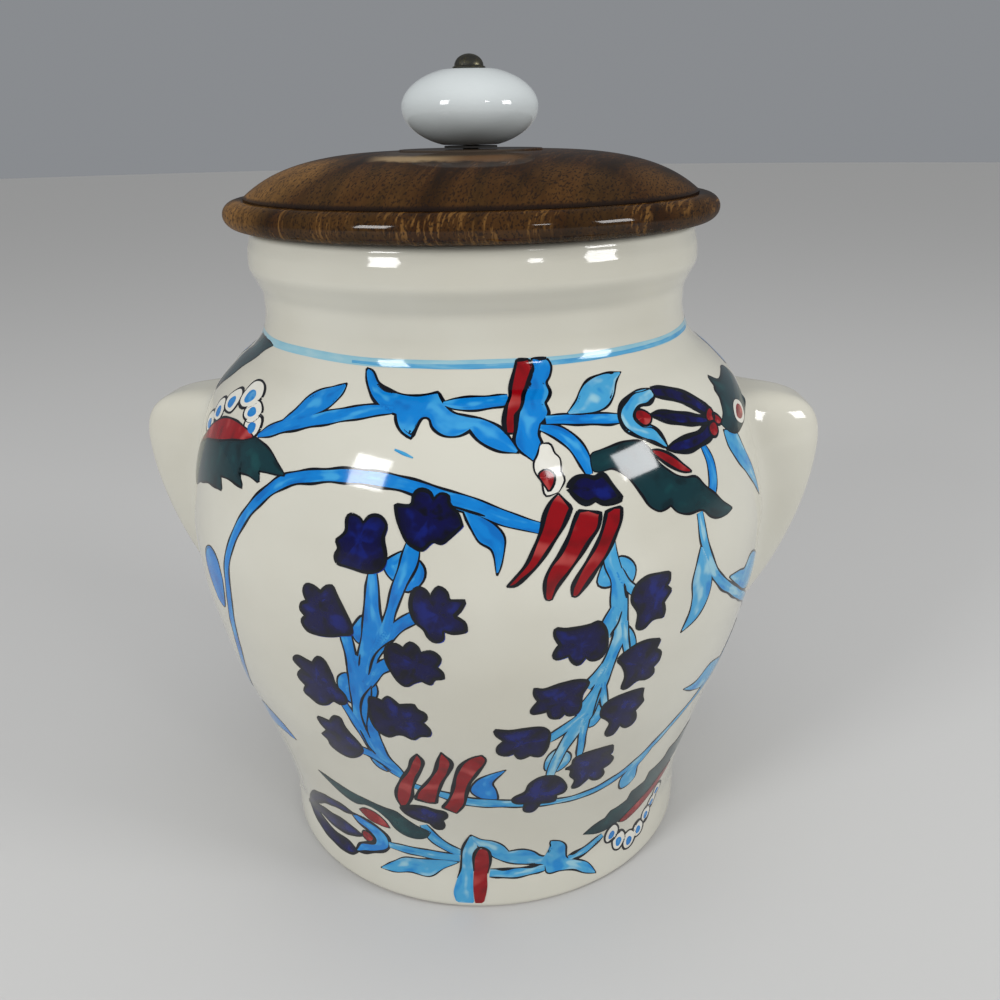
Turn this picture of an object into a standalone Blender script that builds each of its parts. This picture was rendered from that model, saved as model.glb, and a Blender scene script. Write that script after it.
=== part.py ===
"""A glazed ceramic canister with two ear lugs and a turned wooden lid.

The jar is one lofted pot: a turned outline that swells into a lug on each side.
The lid carries a plug with a sealing ring, and a porcelain knob held by a through bolt.
All lengths are in metres, +Z is up, and the origin is the centre of the foot.
"""

import math

import bmesh
import bpy
import numpy as np

# Clearances
SEAT_GAP = 0.0003
SHANK_CLEARANCE = 0.0003

# Jar, from the foot up
FOOT_RADIUS = 0.0707
FOOT_HEIGHT = 0.014
FOOT_BAND_SHARE = 0.5
WAIST_RADIUS = 0.0705
FOOT_CORNER = 0.0024
FOOT_RING_WIDTH = 0.0075
FOOT_RECESS = 0.003
FOOT_RECESS_SLOPE = 0.002
BELLY_RADIUS = 0.0942
LOWER_BODY_LENGTH = 0.103
NECK_RADIUS = 0.0655
SHOULDER_LENGTH = 0.066
RIM_RADIUS = 0.0692
RIM_LENGTH = 0.0237
MOUTH_RADIUS = 0.0595
LIP_CORNER = 0.0022
MOUTH_CORNER = 0.0015
WALL = 0.0055
FLOOR_THICKNESS = 0.006
FLOOR_CORNER = 0.012

# Outlines of the jar: share of the stretch's length, share of the change in radius
LOWER_BODY_SHARES = (
    (0.0, 0.0),
    (0.08, 0.05),
    (0.18, 0.15),
    (0.29, 0.29),
    (0.42, 0.47),
    (0.56, 0.68),
    (0.71, 0.845),
    (0.865, 0.968),
)
SHOULDER_SHARES = (
    (0.0, 0.0),
    (0.24, 0.073),
    (0.47, 0.216),
    (0.64, 0.40),
    (0.76, 0.66),
    (0.83, 0.854),
    (0.91, 0.965),
)
RIM_SHARES = ((0.0, 0.0), (0.2, 0.03), (0.38, 0.49), (0.57, 1.0), (0.76, 0.93))

# Ear lugs, one on each side of the jar
LUG_REACH = 0.111
LUG_TOP_HEIGHT = 0.1547
LUG_CREST_HEIGHT = 0.138
LUG_TOE_HEIGHT = 0.076
LUG_SHELF_DROP = 0.0008
LUG_FLAT_HALF = 0.004
LUG_ROOT_HALF = 0.0235
LUG_CORNER_HANDLE_SHARE = 0.75
LUG_CREST_HANDLE_SHARE = 0.32
LUG_TOE_HANDLE_SHARE = 0.23
LUG_TOE_SPREAD_SHARE = 0.57
LUG_TOE_TAPER_SHARE = 0.6

# Lid, turned from one disc
LID_OVERHANG = 0.0058
BEAD_HEIGHT = 0.0078
BEAD_DEPTH = 0.0045
STEP_HEIGHT = 0.0006
STEP_DEPTH = 0.0035
DOME_HEIGHT = 0.0122
KNOB_SEAT_RADIUS = 0.022
KNOB_SEAT_STEP = 0.0004
PLUG_CLEARANCE = 0.003
PLUG_DEPTH = 0.012
PLUG_CHAMFER = 0.0015
COUNTERBORE_DEPTH = 0.0085
COUNTERBORE_CLEARANCE = 0.0025
DOME_TOP_HANDLE_SHARE = 0.6
DOME_EDGE_REACH_SHARE = 0.155
DOME_EDGE_RISE_SHARE = 0.51

# Sealing ring
GASKET_HEIGHT = 0.006
GASKET_DROP = 0.002
GASKET_ROOT_DEPTH = 0.002
GASKET_LIP_SHARE = 0.28

# Knob, its bolt and what the bolt clamps
KNOB_RADIUS = 0.0205
KNOB_HALF_HEIGHT = 0.0114
KNOB_FLAT_RADIUS = 0.0085
KNOB_BORE_CORNER = 0.0006
CUSHION_RADIUS = 0.008
CUSHION_THICKNESS = 0.0006
BOLT_RADIUS = 0.0024
BOLT_TAIL = 0.002
HEAD_RADIUS = 0.0049
HEAD_HEIGHT = 0.004
HEAD_BRIM = 0.0007
WASHER_RADIUS = 0.0065
WASHER_THICKNESS = 0.001
NUT_ACROSS_FLATS = 0.008
NUT_THICKNESS = 0.004
NUT_CHAMFER = 0.0005

# One overrun serves every cut
CUT_OVERRUN = 0.002

# Mesh settings: what counts as a sharp edge, and how near two points are merged
SHARP_ANGLE = math.radians(40.0)
MERGE_DISTANCE = 0.00001

# Fineness of the turned surfaces
BODY_COLUMN_STEP = math.radians(7.5)
LUG_COLUMN_STEP = math.radians(2.5)
LUG_COLUMN_REACH = math.radians(15.0)
LID_SIDES = 48
KNOB_SIDES = 32
BOLT_SIDES = 24
LUG_CORNER_ROWS = 9
LUG_FLANK_ROWS = 9
LOWER_ROWS = 8
SHOULDER_ROWS = 7
NECK_ROWS = 7
INNER_ROWS = 10
DOME_ROWS = 12
BEAD_ROWS = 9
KNOB_ROWS = 17
HEAD_ROWS = 8

# Heights that follow from the lengths above
BELLY_HEIGHT = FOOT_HEIGHT + LOWER_BODY_LENGTH
NECK_HEIGHT = BELLY_HEIGHT + SHOULDER_LENGTH
JAR_HEIGHT = NECK_HEIGHT + RIM_LENGTH
FLOOR_HEIGHT = FOOT_RECESS + FLOOR_THICKNESS
LID_BASE = JAR_HEIGHT + SEAT_GAP
LID_RADIUS = RIM_RADIUS + LID_OVERHANG
STEP_TOP = LID_BASE + BEAD_HEIGHT + STEP_HEIGHT
LID_TOP = STEP_TOP + DOME_HEIGHT
PLUG_BASE = LID_BASE - PLUG_DEPTH
PLUG_RADIUS = MOUTH_RADIUS - PLUG_CLEARANCE
BORE_RADIUS = BOLT_RADIUS + SHANK_CLEARANCE
CUSHION_BASE = LID_TOP + SEAT_GAP
KNOB_BASE = CUSHION_BASE + CUSHION_THICKNESS + SEAT_GAP
COUNTERBORE_TOP = PLUG_BASE + COUNTERBORE_DEPTH
WASHER_TOP = COUNTERBORE_TOP - SEAT_GAP
NUT_TOP = WASHER_TOP - WASHER_THICKNESS - SEAT_GAP
GASKET_TOP = LID_BASE - GASKET_DROP


def clear_scene():
    """Remove every object, so that the model starts in an empty scene."""
    for thing in list(bpy.data.objects):
        bpy.data.objects.remove(thing, do_unlink=True)


def make_material(name, colour, roughness, metallic=0.0):
    """Return a Principled material of one colour."""
    material = bpy.data.materials.new(name)
    material.use_nodes = True
    shader = material.node_tree.nodes["Principled BSDF"]
    shader.inputs["Base Color"].default_value = (*colour, 1.0)
    shader.inputs["Roughness"].default_value = roughness
    shader.inputs["Metallic"].default_value = metallic
    return material


def add_object(name, mesh, material, parent=None):
    """Link a mesh as a named object, shaded smooth but for its sharp edges."""
    mesh.materials.append(material)
    mesh.shade_smooth()
    mesh.set_sharp_from_angle(angle=SHARP_ANGLE)
    thing = bpy.data.objects.new(name, mesh)
    bpy.context.collection.objects.link(thing)
    if parent is not None:
        thing.parent = parent
        thing.matrix_parent_inverse = parent.matrix_world.inverted()
    return thing


def arc_points(centre_radius, centre_height, reach, rise, start, end, count):
    """Points of an ellipse's arc, from angle start to angle end in degrees."""
    points = []
    for angle in np.radians(np.linspace(start, end, count)):
        points.append((centre_radius + reach * math.cos(angle), centre_height + rise * math.sin(angle)))
    return points


def turned(name, outline, sides, material, parent=None):
    """Turn a closed outline, outer side downwards, about the Z axis with a Screw."""
    mesh = bpy.data.meshes.new(name)
    corners = [(radius, 0.0, height) for radius, height in outline]
    links = [(index, (index + 1) % len(corners)) for index in range(len(corners))]
    mesh.from_pydata(corners, links, [])
    thing = add_object(name, mesh, material, parent)
    screw = thing.modifiers.new("Turn", "SCREW")
    screw.axis = "Z"
    screw.angle = math.radians(360.0)
    screw.steps = sides
    screw.render_steps = sides
    screw.use_merge_vertices = True
    screw.merge_threshold = MERGE_DISTANCE
    screw.use_smooth_shade = True
    return thing


def outline_stations():
    """Heights and radii that the jar's outer wall passes through, foot to rim."""
    stretches = (
        (FOOT_HEIGHT, LOWER_BODY_LENGTH, WAIST_RADIUS, BELLY_RADIUS, LOWER_BODY_SHARES),
        (BELLY_HEIGHT, SHOULDER_LENGTH, BELLY_RADIUS, NECK_RADIUS, SHOULDER_SHARES),
        (NECK_HEIGHT, RIM_LENGTH, NECK_RADIUS, RIM_RADIUS, RIM_SHARES),
    )
    heights = [FOOT_CORNER, FOOT_HEIGHT * FOOT_BAND_SHARE]
    radii = [FOOT_RADIUS, FOOT_RADIUS]
    for base, length, start, end, shares in stretches:
        for up_share, out_share in shares:
            heights.append(base + length * up_share)
            radii.append(start + (end - start) * out_share)
    heights.append(JAR_HEIGHT - LIP_CORNER)
    radii.append(RIM_RADIUS - LIP_CORNER / 2.0)
    return np.array(heights), np.array(radii)


def wall_radius(height):
    """Radius of the outer wall: a cubic through the stations, which never overshoots them."""
    heights, radii = outline_stations()
    lengths = np.diff(heights)
    slopes = np.diff(radii) / lengths
    tangents = np.zeros(len(heights))
    same_way = slopes[:-1] * slopes[1:] > 0.0
    weights = lengths[:-1] + 2.0 * lengths[1:], 2.0 * lengths[:-1] + lengths[1:]
    safe = np.where(same_way, slopes[:-1] * slopes[1:], 1.0)
    blended = weights[1] * slopes[1:] + weights[0] * slopes[:-1]
    mean = safe * (weights[0] + weights[1]) / np.where(same_way, blended, 1.0)
    tangents[1:-1] = np.where(same_way, mean, 0.0)
    height = np.clip(height, heights[0], heights[-1])
    index = np.clip(np.searchsorted(heights, height) - 1, 0, len(lengths) - 1)
    step = lengths[index]
    share = (height - heights[index]) / step
    start_pull = share * (1.0 - share) ** 2 * step * tangents[index]
    end_pull = share**2 * (share - 1.0) * step * tangents[index + 1]
    rise = share**2 * (3.0 - 2.0 * share)
    return radii[index] * (1.0 - rise) + radii[index + 1] * rise + start_pull + end_pull


def bezier(start, start_handle, end_handle, end, shares):
    """Points of a cubic curve in radius and height."""
    share = np.asarray(shares)[:, None]
    rest = 1.0 - share
    near = rest**3 * np.array(start) + 3.0 * rest**2 * share * np.array(start_handle)
    far = 3.0 * rest * share**2 * np.array(end_handle) + share**3 * np.array(end)
    return near + far


def lug_outline(corner_shares, flank_shares):
    """Radius and height of the lug's edge: level shelf, round corner, then a long taper to the toe."""
    top = (wall_radius(LUG_TOP_HEIGHT), LUG_TOP_HEIGHT)
    crest = (LUG_REACH, LUG_CREST_HEIGHT)
    toe = (wall_radius(LUG_TOE_HEIGHT), LUG_TOE_HEIGHT)
    shelf_length = crest[0] - top[0]
    corner_rise = top[1] - crest[1]
    flank_length = crest[1] - toe[1]
    shelf_handle = (top[0] + shelf_length * LUG_CORNER_HANDLE_SHARE, top[1] - LUG_SHELF_DROP)
    corner_handle = (crest[0], crest[1] + corner_rise * LUG_CORNER_HANDLE_SHARE)
    crest_handle = (crest[0], crest[1] - flank_length * LUG_CREST_HANDLE_SHARE)
    toe_handle = (
        toe[0] + (crest[0] - toe[0]) * LUG_TOE_SPREAD_SHARE,
        toe[1] + flank_length * LUG_TOE_HANDLE_SHARE,
    )
    corner = bezier(top, shelf_handle, corner_handle, crest, corner_shares)
    flank = bezier(crest, crest_handle, toe_handle, toe, flank_shares)
    return np.vstack([corner, flank])


def column_angles():
    """Angles of the jar's columns: close together across each lug, wider between them."""
    across = round(LUG_COLUMN_REACH / LUG_COLUMN_STEP)
    lug = np.linspace(-LUG_COLUMN_REACH, LUG_COLUMN_REACH, 2 * across + 1)
    count = round((math.pi - 2.0 * LUG_COLUMN_REACH) / BODY_COLUMN_STEP)
    between = np.linspace(LUG_COLUMN_REACH, math.pi - LUG_COLUMN_REACH, count + 1)[1:-1]
    half = np.concatenate([lug, between])
    return np.concatenate([half, half + math.pi])


def lug_strength(angles, toe_share):
    """How far each column follows the lug: 1 on its crest, easing to 0 at the foot of its sides."""
    beside = np.abs(np.mod(angles + math.pi / 2.0, math.pi) - math.pi / 2.0) * BELLY_RADIUS
    narrow = 1.0 - (1.0 - LUG_TOE_TAPER_SHARE) * toe_share
    inner = LUG_FLAT_HALF * narrow
    outer = LUG_ROOT_HALF * narrow
    share = np.clip((outer - beside) / (outer - inner), 0.0, 1.0)
    return share**3 * (share * (6.0 * share - 15.0) + 10.0)


def plain_ring(radius, height, angles):
    """One level ring of the jar."""
    across = np.full(len(angles), radius)
    return np.column_stack([across * np.cos(angles), across * np.sin(angles), np.full(len(angles), height)])


def lug_rings(angles):
    """Rings of the stretch with the lugs, from the top of the lugs down to their toes."""
    corner_shares = np.linspace(0.0, 1.0, LUG_CORNER_ROWS)
    flank_shares = np.linspace(0.0, 1.0, LUG_FLANK_ROWS + 1)[1:]
    edge = lug_outline(corner_shares, flank_shares)
    corner_heights = LUG_TOP_HEIGHT + (LUG_CREST_HEIGHT - LUG_TOP_HEIGHT) * corner_shares
    flank_heights = LUG_CREST_HEIGHT + (LUG_TOE_HEIGHT - LUG_CREST_HEIGHT) * flank_shares
    heights = np.concatenate([corner_heights, flank_heights])
    toe_shares = np.clip((LUG_CREST_HEIGHT - heights) / (LUG_CREST_HEIGHT - LUG_TOE_HEIGHT), 0.0, 1.0)
    rings = []
    for (reach, level), height, toe_share in zip(edge, heights, toe_shares):
        strength = lug_strength(angles, toe_share)
        body = wall_radius(height)
        radius = body + strength * (reach - body)
        lift = height + strength * (level - height)
        rings.append(np.column_stack([radius * np.cos(angles), radius * np.sin(angles), lift]))
    return rings


def jar_rings(angles):
    """All rings of the jar, from under the foot, up the outside, over the lip and down inside."""
    ring_inner = FOOT_RADIUS - FOOT_CORNER - FOOT_RING_WIDTH
    outline = [(ring_inner - FOOT_RECESS_SLOPE, FOOT_RECESS), (ring_inner, 0.0)]
    outline += arc_points(FOOT_RADIUS - FOOT_CORNER, FOOT_CORNER, FOOT_CORNER, FOOT_CORNER, -90.0, 0.0, 4)
    for height in np.linspace(FOOT_CORNER, LUG_TOE_HEIGHT, LOWER_ROWS + 1)[1:-1]:
        outline.append((wall_radius(height), height))
    rings = [plain_ring(radius, height, angles) for radius, height in outline]
    rings += reversed(lug_rings(angles))
    lip_base = JAR_HEIGHT - LIP_CORNER
    upper = []
    for height in np.linspace(LUG_TOP_HEIGHT, NECK_HEIGHT, SHOULDER_ROWS + 1)[1:]:
        upper.append((wall_radius(height), height))
    for height in np.linspace(NECK_HEIGHT, lip_base, NECK_ROWS + 1)[1:]:
        upper.append((wall_radius(height), height))
    lip_centre = wall_radius(lip_base) - LIP_CORNER
    upper += arc_points(lip_centre, lip_base, LIP_CORNER, LIP_CORNER, 0.0, 90.0, 4)[1:]
    mouth_centre = MOUTH_RADIUS + MOUTH_CORNER
    upper += arc_points(mouth_centre, JAR_HEIGHT - MOUTH_CORNER, MOUTH_CORNER, MOUTH_CORNER, 90.0, 180.0, 3)
    upper.append((MOUTH_RADIUS, NECK_HEIGHT))
    floor_start = FLOOR_HEIGHT + FLOOR_CORNER
    for height in np.linspace(NECK_HEIGHT, floor_start, INNER_ROWS + 1)[1:]:
        upper.append((wall_radius(height) - WALL, height))
    floor_centre = wall_radius(floor_start) - WALL - FLOOR_CORNER
    upper += arc_points(floor_centre, floor_start, FLOOR_CORNER, FLOOR_CORNER, 0.0, -90.0, 5)[1:]
    rings += [plain_ring(radius, height, angles) for radius, height in upper]
    return rings


def build_jar(material):
    """Loft the jar through its rings and close it at the two centres of its floor."""
    angles = column_angles()
    shape = bmesh.new()
    rings = [[shape.verts.new(point) for point in ring] for ring in jar_rings(angles)]
    for lower, upper in zip(rings, rings[1:]):
        for column in range(len(angles)):
            following = (column + 1) % len(angles)
            shape.faces.new((lower[column], lower[following], upper[following], upper[column]))
    underside = shape.verts.new((0.0, 0.0, FOOT_RECESS))
    inside = shape.verts.new((0.0, 0.0, FLOOR_HEIGHT))
    for column in range(len(angles)):
        following = (column + 1) % len(angles)
        shape.faces.new((underside, rings[0][following], rings[0][column]))
        shape.faces.new((inside, rings[-1][column], rings[-1][following]))
    bmesh.ops.recalc_face_normals(shape, faces=shape.faces)
    mesh = bpy.data.meshes.new("jar")
    shape.to_mesh(mesh)
    shape.free()
    return add_object("jar", mesh, material)


def lid_outline():
    """Outline of the lid, from the knob seat over dome and bead, then up the plug and the bore."""
    step_radius = LID_RADIUS - BEAD_DEPTH - STEP_DEPTH / 2.0
    dome_reach = step_radius - KNOB_SEAT_RADIUS
    seat_edge = LID_TOP - KNOB_SEAT_STEP
    dome = bezier(
        (KNOB_SEAT_RADIUS, seat_edge),
        (KNOB_SEAT_RADIUS + dome_reach * DOME_TOP_HANDLE_SHARE, seat_edge),
        (step_radius - dome_reach * DOME_EDGE_REACH_SHARE, STEP_TOP + DOME_HEIGHT * DOME_EDGE_RISE_SHARE),
        (step_radius, STEP_TOP),
        np.linspace(0.0, 1.0, DOME_ROWS),
    )
    bead_middle = LID_BASE + BEAD_HEIGHT / 2.0
    groove_top = GASKET_TOP
    groove_base = GASKET_TOP - GASKET_HEIGHT
    groove_radius = PLUG_RADIUS - GASKET_ROOT_DEPTH
    recess_radius = WASHER_RADIUS + COUNTERBORE_CLEARANCE
    outline = [(BORE_RADIUS, LID_TOP), (KNOB_SEAT_RADIUS - KNOB_SEAT_STEP, LID_TOP)]
    outline += [tuple(point) for point in dome]
    outline += [(step_radius, LID_BASE + BEAD_HEIGHT)]
    bead_centre = LID_RADIUS - BEAD_DEPTH
    outline += arc_points(bead_centre, bead_middle, BEAD_DEPTH, BEAD_HEIGHT / 2.0, 90.0, -90.0, BEAD_ROWS)
    outline += [
        (PLUG_RADIUS, LID_BASE),
        (PLUG_RADIUS, groove_top),
        (groove_radius, groove_top),
        (groove_radius, groove_base),
        (PLUG_RADIUS, groove_base),
        (PLUG_RADIUS, PLUG_BASE + PLUG_CHAMFER),
        (PLUG_RADIUS - PLUG_CHAMFER, PLUG_BASE),
        (recess_radius, PLUG_BASE),
        (recess_radius, COUNTERBORE_TOP),
        (BORE_RADIUS, COUNTERBORE_TOP),
    ]
    return outline


def build_lid(material, parent):
    """Turn the lid."""
    return turned("lid", lid_outline(), LID_SIDES, material, parent)


def build_gasket(material, parent):
    """Turn the sealing ring: a band in the plug's groove with two soft lips."""
    inner = PLUG_RADIUS - GASKET_ROOT_DEPTH + SEAT_GAP
    band = PLUG_RADIUS
    lip = MOUTH_RADIUS - SEAT_GAP
    top = GASKET_TOP - SEAT_GAP
    base = GASKET_TOP - GASKET_HEIGHT + SEAT_GAP
    lip_drop = (top - base) * GASKET_LIP_SHARE
    outline = [
        (inner, top),
        (band, top),
        (lip, top - lip_drop),
        (band, top - 2.0 * lip_drop + lip_drop / 4.0),
        (band, base + 2.0 * lip_drop - lip_drop / 4.0),
        (lip, base + lip_drop),
        (band, base),
        (inner, base),
    ]
    return turned("lid_gasket", outline, LID_SIDES, material, parent)


def build_knob(material, parent):
    """Turn the flattened porcelain ball, cut level at both ends round its bore."""
    flat_angle = math.degrees(math.acos(KNOB_FLAT_RADIUS / KNOB_RADIUS))
    half_cut = KNOB_HALF_HEIGHT * math.sin(math.radians(flat_angle))
    middle = KNOB_BASE + half_cut
    ball = arc_points(0.0, middle, KNOB_RADIUS, KNOB_HALF_HEIGHT, flat_angle, -flat_angle, KNOB_ROWS)
    top = middle + half_cut
    outline = [(BORE_RADIUS, top - KNOB_BORE_CORNER), (BORE_RADIUS + KNOB_BORE_CORNER, top)]
    outline += ball
    outline += [(BORE_RADIUS + KNOB_BORE_CORNER, KNOB_BASE), (BORE_RADIUS, KNOB_BASE + KNOB_BORE_CORNER)]
    turned("knob", outline, KNOB_SIDES, material, parent)
    return top


def build_bolt(knob_top, material, parent):
    """Turn the bolt: a domed head with a thin brim on a straight shank down to past the nut."""
    seat = knob_top + SEAT_GAP
    tip = NUT_TOP - NUT_THICKNESS - BOLT_TAIL
    dome = arc_points(0.0, seat + HEAD_BRIM, HEAD_RADIUS, HEAD_HEIGHT - HEAD_BRIM, 90.0, 0.0, HEAD_ROWS)
    outline = [(0.0, seat + HEAD_HEIGHT)]
    outline += dome[1:]
    outline += [
        (HEAD_RADIUS, seat),
        (BOLT_RADIUS, seat),
        (BOLT_RADIUS, tip + NUT_CHAMFER),
        (BOLT_RADIUS - NUT_CHAMFER, tip),
        (0.0, tip),
    ]
    return turned("knob_bolt", outline, BOLT_SIDES, material, parent)


def build_flat_ring(name, radius, top, thickness, material, parent):
    """Turn a flat ring that the bolt passes through."""
    outline = [(BORE_RADIUS, top), (radius, top), (radius, top - thickness), (BORE_RADIUS, top - thickness)]
    return turned(name, outline, KNOB_SIDES, material, parent)


def build_nut(material, parent):
    """Cut a chamfered hexagon through for the bolt."""
    corner_radius = NUT_ACROSS_FLATS / 2.0 / math.cos(math.radians(30.0))
    shape = bmesh.new()
    bmesh.ops.create_cone(
        shape,
        cap_ends=True,
        segments=6,
        radius1=corner_radius,
        radius2=corner_radius,
        depth=NUT_THICKNESS,
    )
    rims = [edge for edge in shape.edges if abs(edge.verts[0].co.z - edge.verts[1].co.z) < NUT_CHAMFER]
    bmesh.ops.bevel(shape, geom=rims, offset=NUT_CHAMFER, segments=1, affect="EDGES")
    mesh = bpy.data.meshes.new("lid_nut")
    shape.to_mesh(mesh)
    shape.free()
    nut = add_object("lid_nut", mesh, material, parent)
    nut.location = (0.0, 0.0, NUT_TOP - NUT_THICKNESS / 2.0)
    cutter_shape = bmesh.new()
    bmesh.ops.create_cone(
        cutter_shape,
        cap_ends=True,
        segments=BOLT_SIDES,
        radius1=BORE_RADIUS,
        radius2=BORE_RADIUS,
        depth=NUT_THICKNESS + 2.0 * CUT_OVERRUN,
    )
    cutter_mesh = bpy.data.meshes.new("nut_bore")
    cutter_shape.to_mesh(cutter_mesh)
    cutter_shape.free()
    cutter = bpy.data.objects.new("nut_bore", cutter_mesh)
    bpy.context.collection.objects.link(cutter)
    cutter.parent = nut
    cutter.hide_render = True
    cutter.display_type = "WIRE"
    cut = nut.modifiers.new("Bore", "BOOLEAN")
    cut.operation = "DIFFERENCE"
    cut.solver = "EXACT"
    cut.object = cutter
    return nut


def main():
    """Build the jar, then everything that lifts off with the lid."""
    clear_scene()
    glaze = make_material("cream_glaze", (0.78, 0.75, 0.68), 0.12)
    wood = make_material("stained_wood", (0.13, 0.055, 0.018), 0.35)
    rubber = make_material("clear_silicone", (0.72, 0.72, 0.70), 0.45)
    porcelain = make_material("white_porcelain", (0.78, 0.79, 0.79), 0.10)
    brass = make_material("antique_brass", (0.12, 0.10, 0.06), 0.45, 1.0)
    fibre = make_material("black_fibre", (0.02, 0.02, 0.02), 0.8)

    lid_axis = bpy.data.objects.new("lid_axis", None)
    lid_axis.location = (0.0, 0.0, JAR_HEIGHT)
    bpy.context.collection.objects.link(lid_axis)
    bpy.context.view_layer.update()

    build_jar(glaze)
    build_lid(wood, lid_axis)
    build_gasket(rubber, lid_axis)
    cushion_top = CUSHION_BASE + CUSHION_THICKNESS
    build_flat_ring("knob_cushion", CUSHION_RADIUS, cushion_top, CUSHION_THICKNESS, fibre, lid_axis)
    knob_top = build_knob(porcelain, lid_axis)
    build_bolt(knob_top, brass, lid_axis)
    build_flat_ring("lid_washer", WASHER_RADIUS, WASHER_TOP, WASHER_THICKNESS, brass, lid_axis)
    build_nut(brass, lid_axis)


main()
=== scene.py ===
"""Looks of a glazed ceramic canister with painted flowers, two ear lugs and a turned wooden lid.

The jar is one surface of height and angle, its paint is thin film on that surface, and the lid,
the knob and what fastens it are profiles turned about the Z axis. All lengths are in metres, and
the places on the wall are given unrolled: u runs round the belly in millimetres from the front
centre towards +X, and s runs up the wall in millimetres from the foot.
"""

from __future__ import annotations

import logging
import math
from collections import defaultdict
from dataclasses import dataclass, field, replace
from enum import Enum

import bpy
import numpy as np
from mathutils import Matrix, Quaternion, Vector

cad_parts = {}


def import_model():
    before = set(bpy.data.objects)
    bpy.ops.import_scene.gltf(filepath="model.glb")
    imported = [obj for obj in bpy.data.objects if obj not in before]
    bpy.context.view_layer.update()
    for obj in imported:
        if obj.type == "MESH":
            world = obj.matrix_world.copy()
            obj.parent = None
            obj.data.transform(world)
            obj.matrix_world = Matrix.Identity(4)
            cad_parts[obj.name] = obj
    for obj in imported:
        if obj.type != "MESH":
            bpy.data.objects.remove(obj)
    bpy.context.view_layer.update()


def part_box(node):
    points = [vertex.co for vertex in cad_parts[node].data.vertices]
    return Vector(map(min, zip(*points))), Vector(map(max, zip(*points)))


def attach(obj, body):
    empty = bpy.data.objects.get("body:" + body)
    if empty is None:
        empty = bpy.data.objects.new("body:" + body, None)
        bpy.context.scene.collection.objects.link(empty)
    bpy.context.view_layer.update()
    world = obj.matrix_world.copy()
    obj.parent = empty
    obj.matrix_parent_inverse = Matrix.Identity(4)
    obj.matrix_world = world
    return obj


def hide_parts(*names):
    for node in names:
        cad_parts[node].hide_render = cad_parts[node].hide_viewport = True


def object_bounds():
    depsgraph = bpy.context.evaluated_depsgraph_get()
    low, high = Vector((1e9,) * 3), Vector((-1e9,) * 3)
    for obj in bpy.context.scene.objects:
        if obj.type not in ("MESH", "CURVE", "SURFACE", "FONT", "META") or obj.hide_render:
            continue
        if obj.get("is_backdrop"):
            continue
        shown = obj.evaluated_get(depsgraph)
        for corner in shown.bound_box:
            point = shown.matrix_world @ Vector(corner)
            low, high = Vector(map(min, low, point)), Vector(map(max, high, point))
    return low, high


log = logging.getLogger("canister")

MM = 0.001
JAR_BODY = "jar"
LID_BODY = "lid"
TINY = 1e-9
FINE_STEPS = 24
GLAZE_IOR = 1.43
BRUSH_MAP = "brush"
AXIS_GAP = 0.004

Array = np.ndarray
Thing = bpy.types.Object
Material = bpy.types.Material
Tree = bpy.types.NodeTree
Node = bpy.types.Node
Socket = bpy.types.NodeSocket
Triple = tuple[float, float, float]
Colour = Triple
Value = Socket | float | Triple
Spot = tuple[float, float]
Pairs = tuple[tuple[float, ...], ...]
Hub = Array | None


class Slot(Enum):
    """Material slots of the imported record."""

    GLAZE = "glazed_stoneware"
    WOOD = "stained_wood"
    SILICONE = "silicone"
    PORCELAIN = "porcelain"
    FIBRE = "fibre"
    ANTIQUE_BRASS = "antique_brass"
    PLAIN_BRASS = "plain_brass"


class Paint(Enum):
    """Colours of the brush, in the order in which they are laid on the wall."""

    WASH = 0
    NECK = 1
    SKY = 2
    MIST = 3
    GREEN = 4
    COBALT = 5
    WHITE = 6
    RED = 7
    DROP = 8
    LINE = 9
    BLEED = 10


# Meshes from grids


def grid_faces(rows: int, columns: int, wrap: bool) -> Array:
    """Return the quads of a grid of points, numbered along its columns first.

    Args:
        rows: Points across the grid's first direction.
        columns: Points along its second direction.
        wrap: Whether the last column joins the first.

    Returns:
        An array of four point numbers for each quad.
    """
    across = columns if wrap else columns - 1
    row, column = np.meshgrid(np.arange(rows - 1) * columns, np.arange(across), indexing="ij")
    low, ahead = row + column, row + (column + 1) % columns
    return np.stack([low, ahead, ahead + columns, low + columns], axis=-1).reshape(-1, 4)


def mesh_object(name: str, points: Array, faces: list[list[int]], smooth: float) -> Thing:
    """Make a mesh object at the origin from points in metres.

    Args:
        name: Name of the piece.
        points: Array of places, one row for each vertex.
        faces: Lists of vertex numbers.
        smooth: Angle in degrees above which an edge is sharp.

    Returns:
        The new object, linked to the scene.
    """
    mesh = bpy.data.meshes.new(name)
    mesh.from_pydata(points.tolist(), [], faces)
    mesh.validate()
    mesh.shade_smooth()
    mesh.set_sharp_from_angle(angle=math.radians(smooth))
    thing = bpy.data.objects.new(name, mesh)
    bpy.context.collection.objects.link(thing)
    return thing


def capped_surface(name: str, rows: Array, low: float, high: float, smooth: float) -> Thing:
    """Make a turned piece's surface, closed on the axis by a fan of triangles at each end.

    Args:
        name: Name of the piece.
        rows: Grid of places: turned outlines by angles.
        low: Height of the point that closes the first row.
        high: Height of the point that closes the last row.
        smooth: Angle in degrees above which an edge is sharp.

    Returns:
        The new object.
    """
    count, columns = rows.shape[:2]
    last = count * columns
    around = np.arange(columns)
    ahead = (around + 1) % columns
    points = np.vstack([rows.reshape(-1, 3), [(0.0, 0.0, low), (0.0, 0.0, high)]])
    faces = grid_faces(count, columns, wrap=True).tolist()
    faces += np.stack([np.full(columns, last), ahead, around], axis=-1).tolist()
    top = last - columns
    faces += np.stack([np.full(columns, last + 1), top + around, top + ahead], axis=-1).tolist()
    return mesh_object(name, points, faces, smooth)


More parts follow.
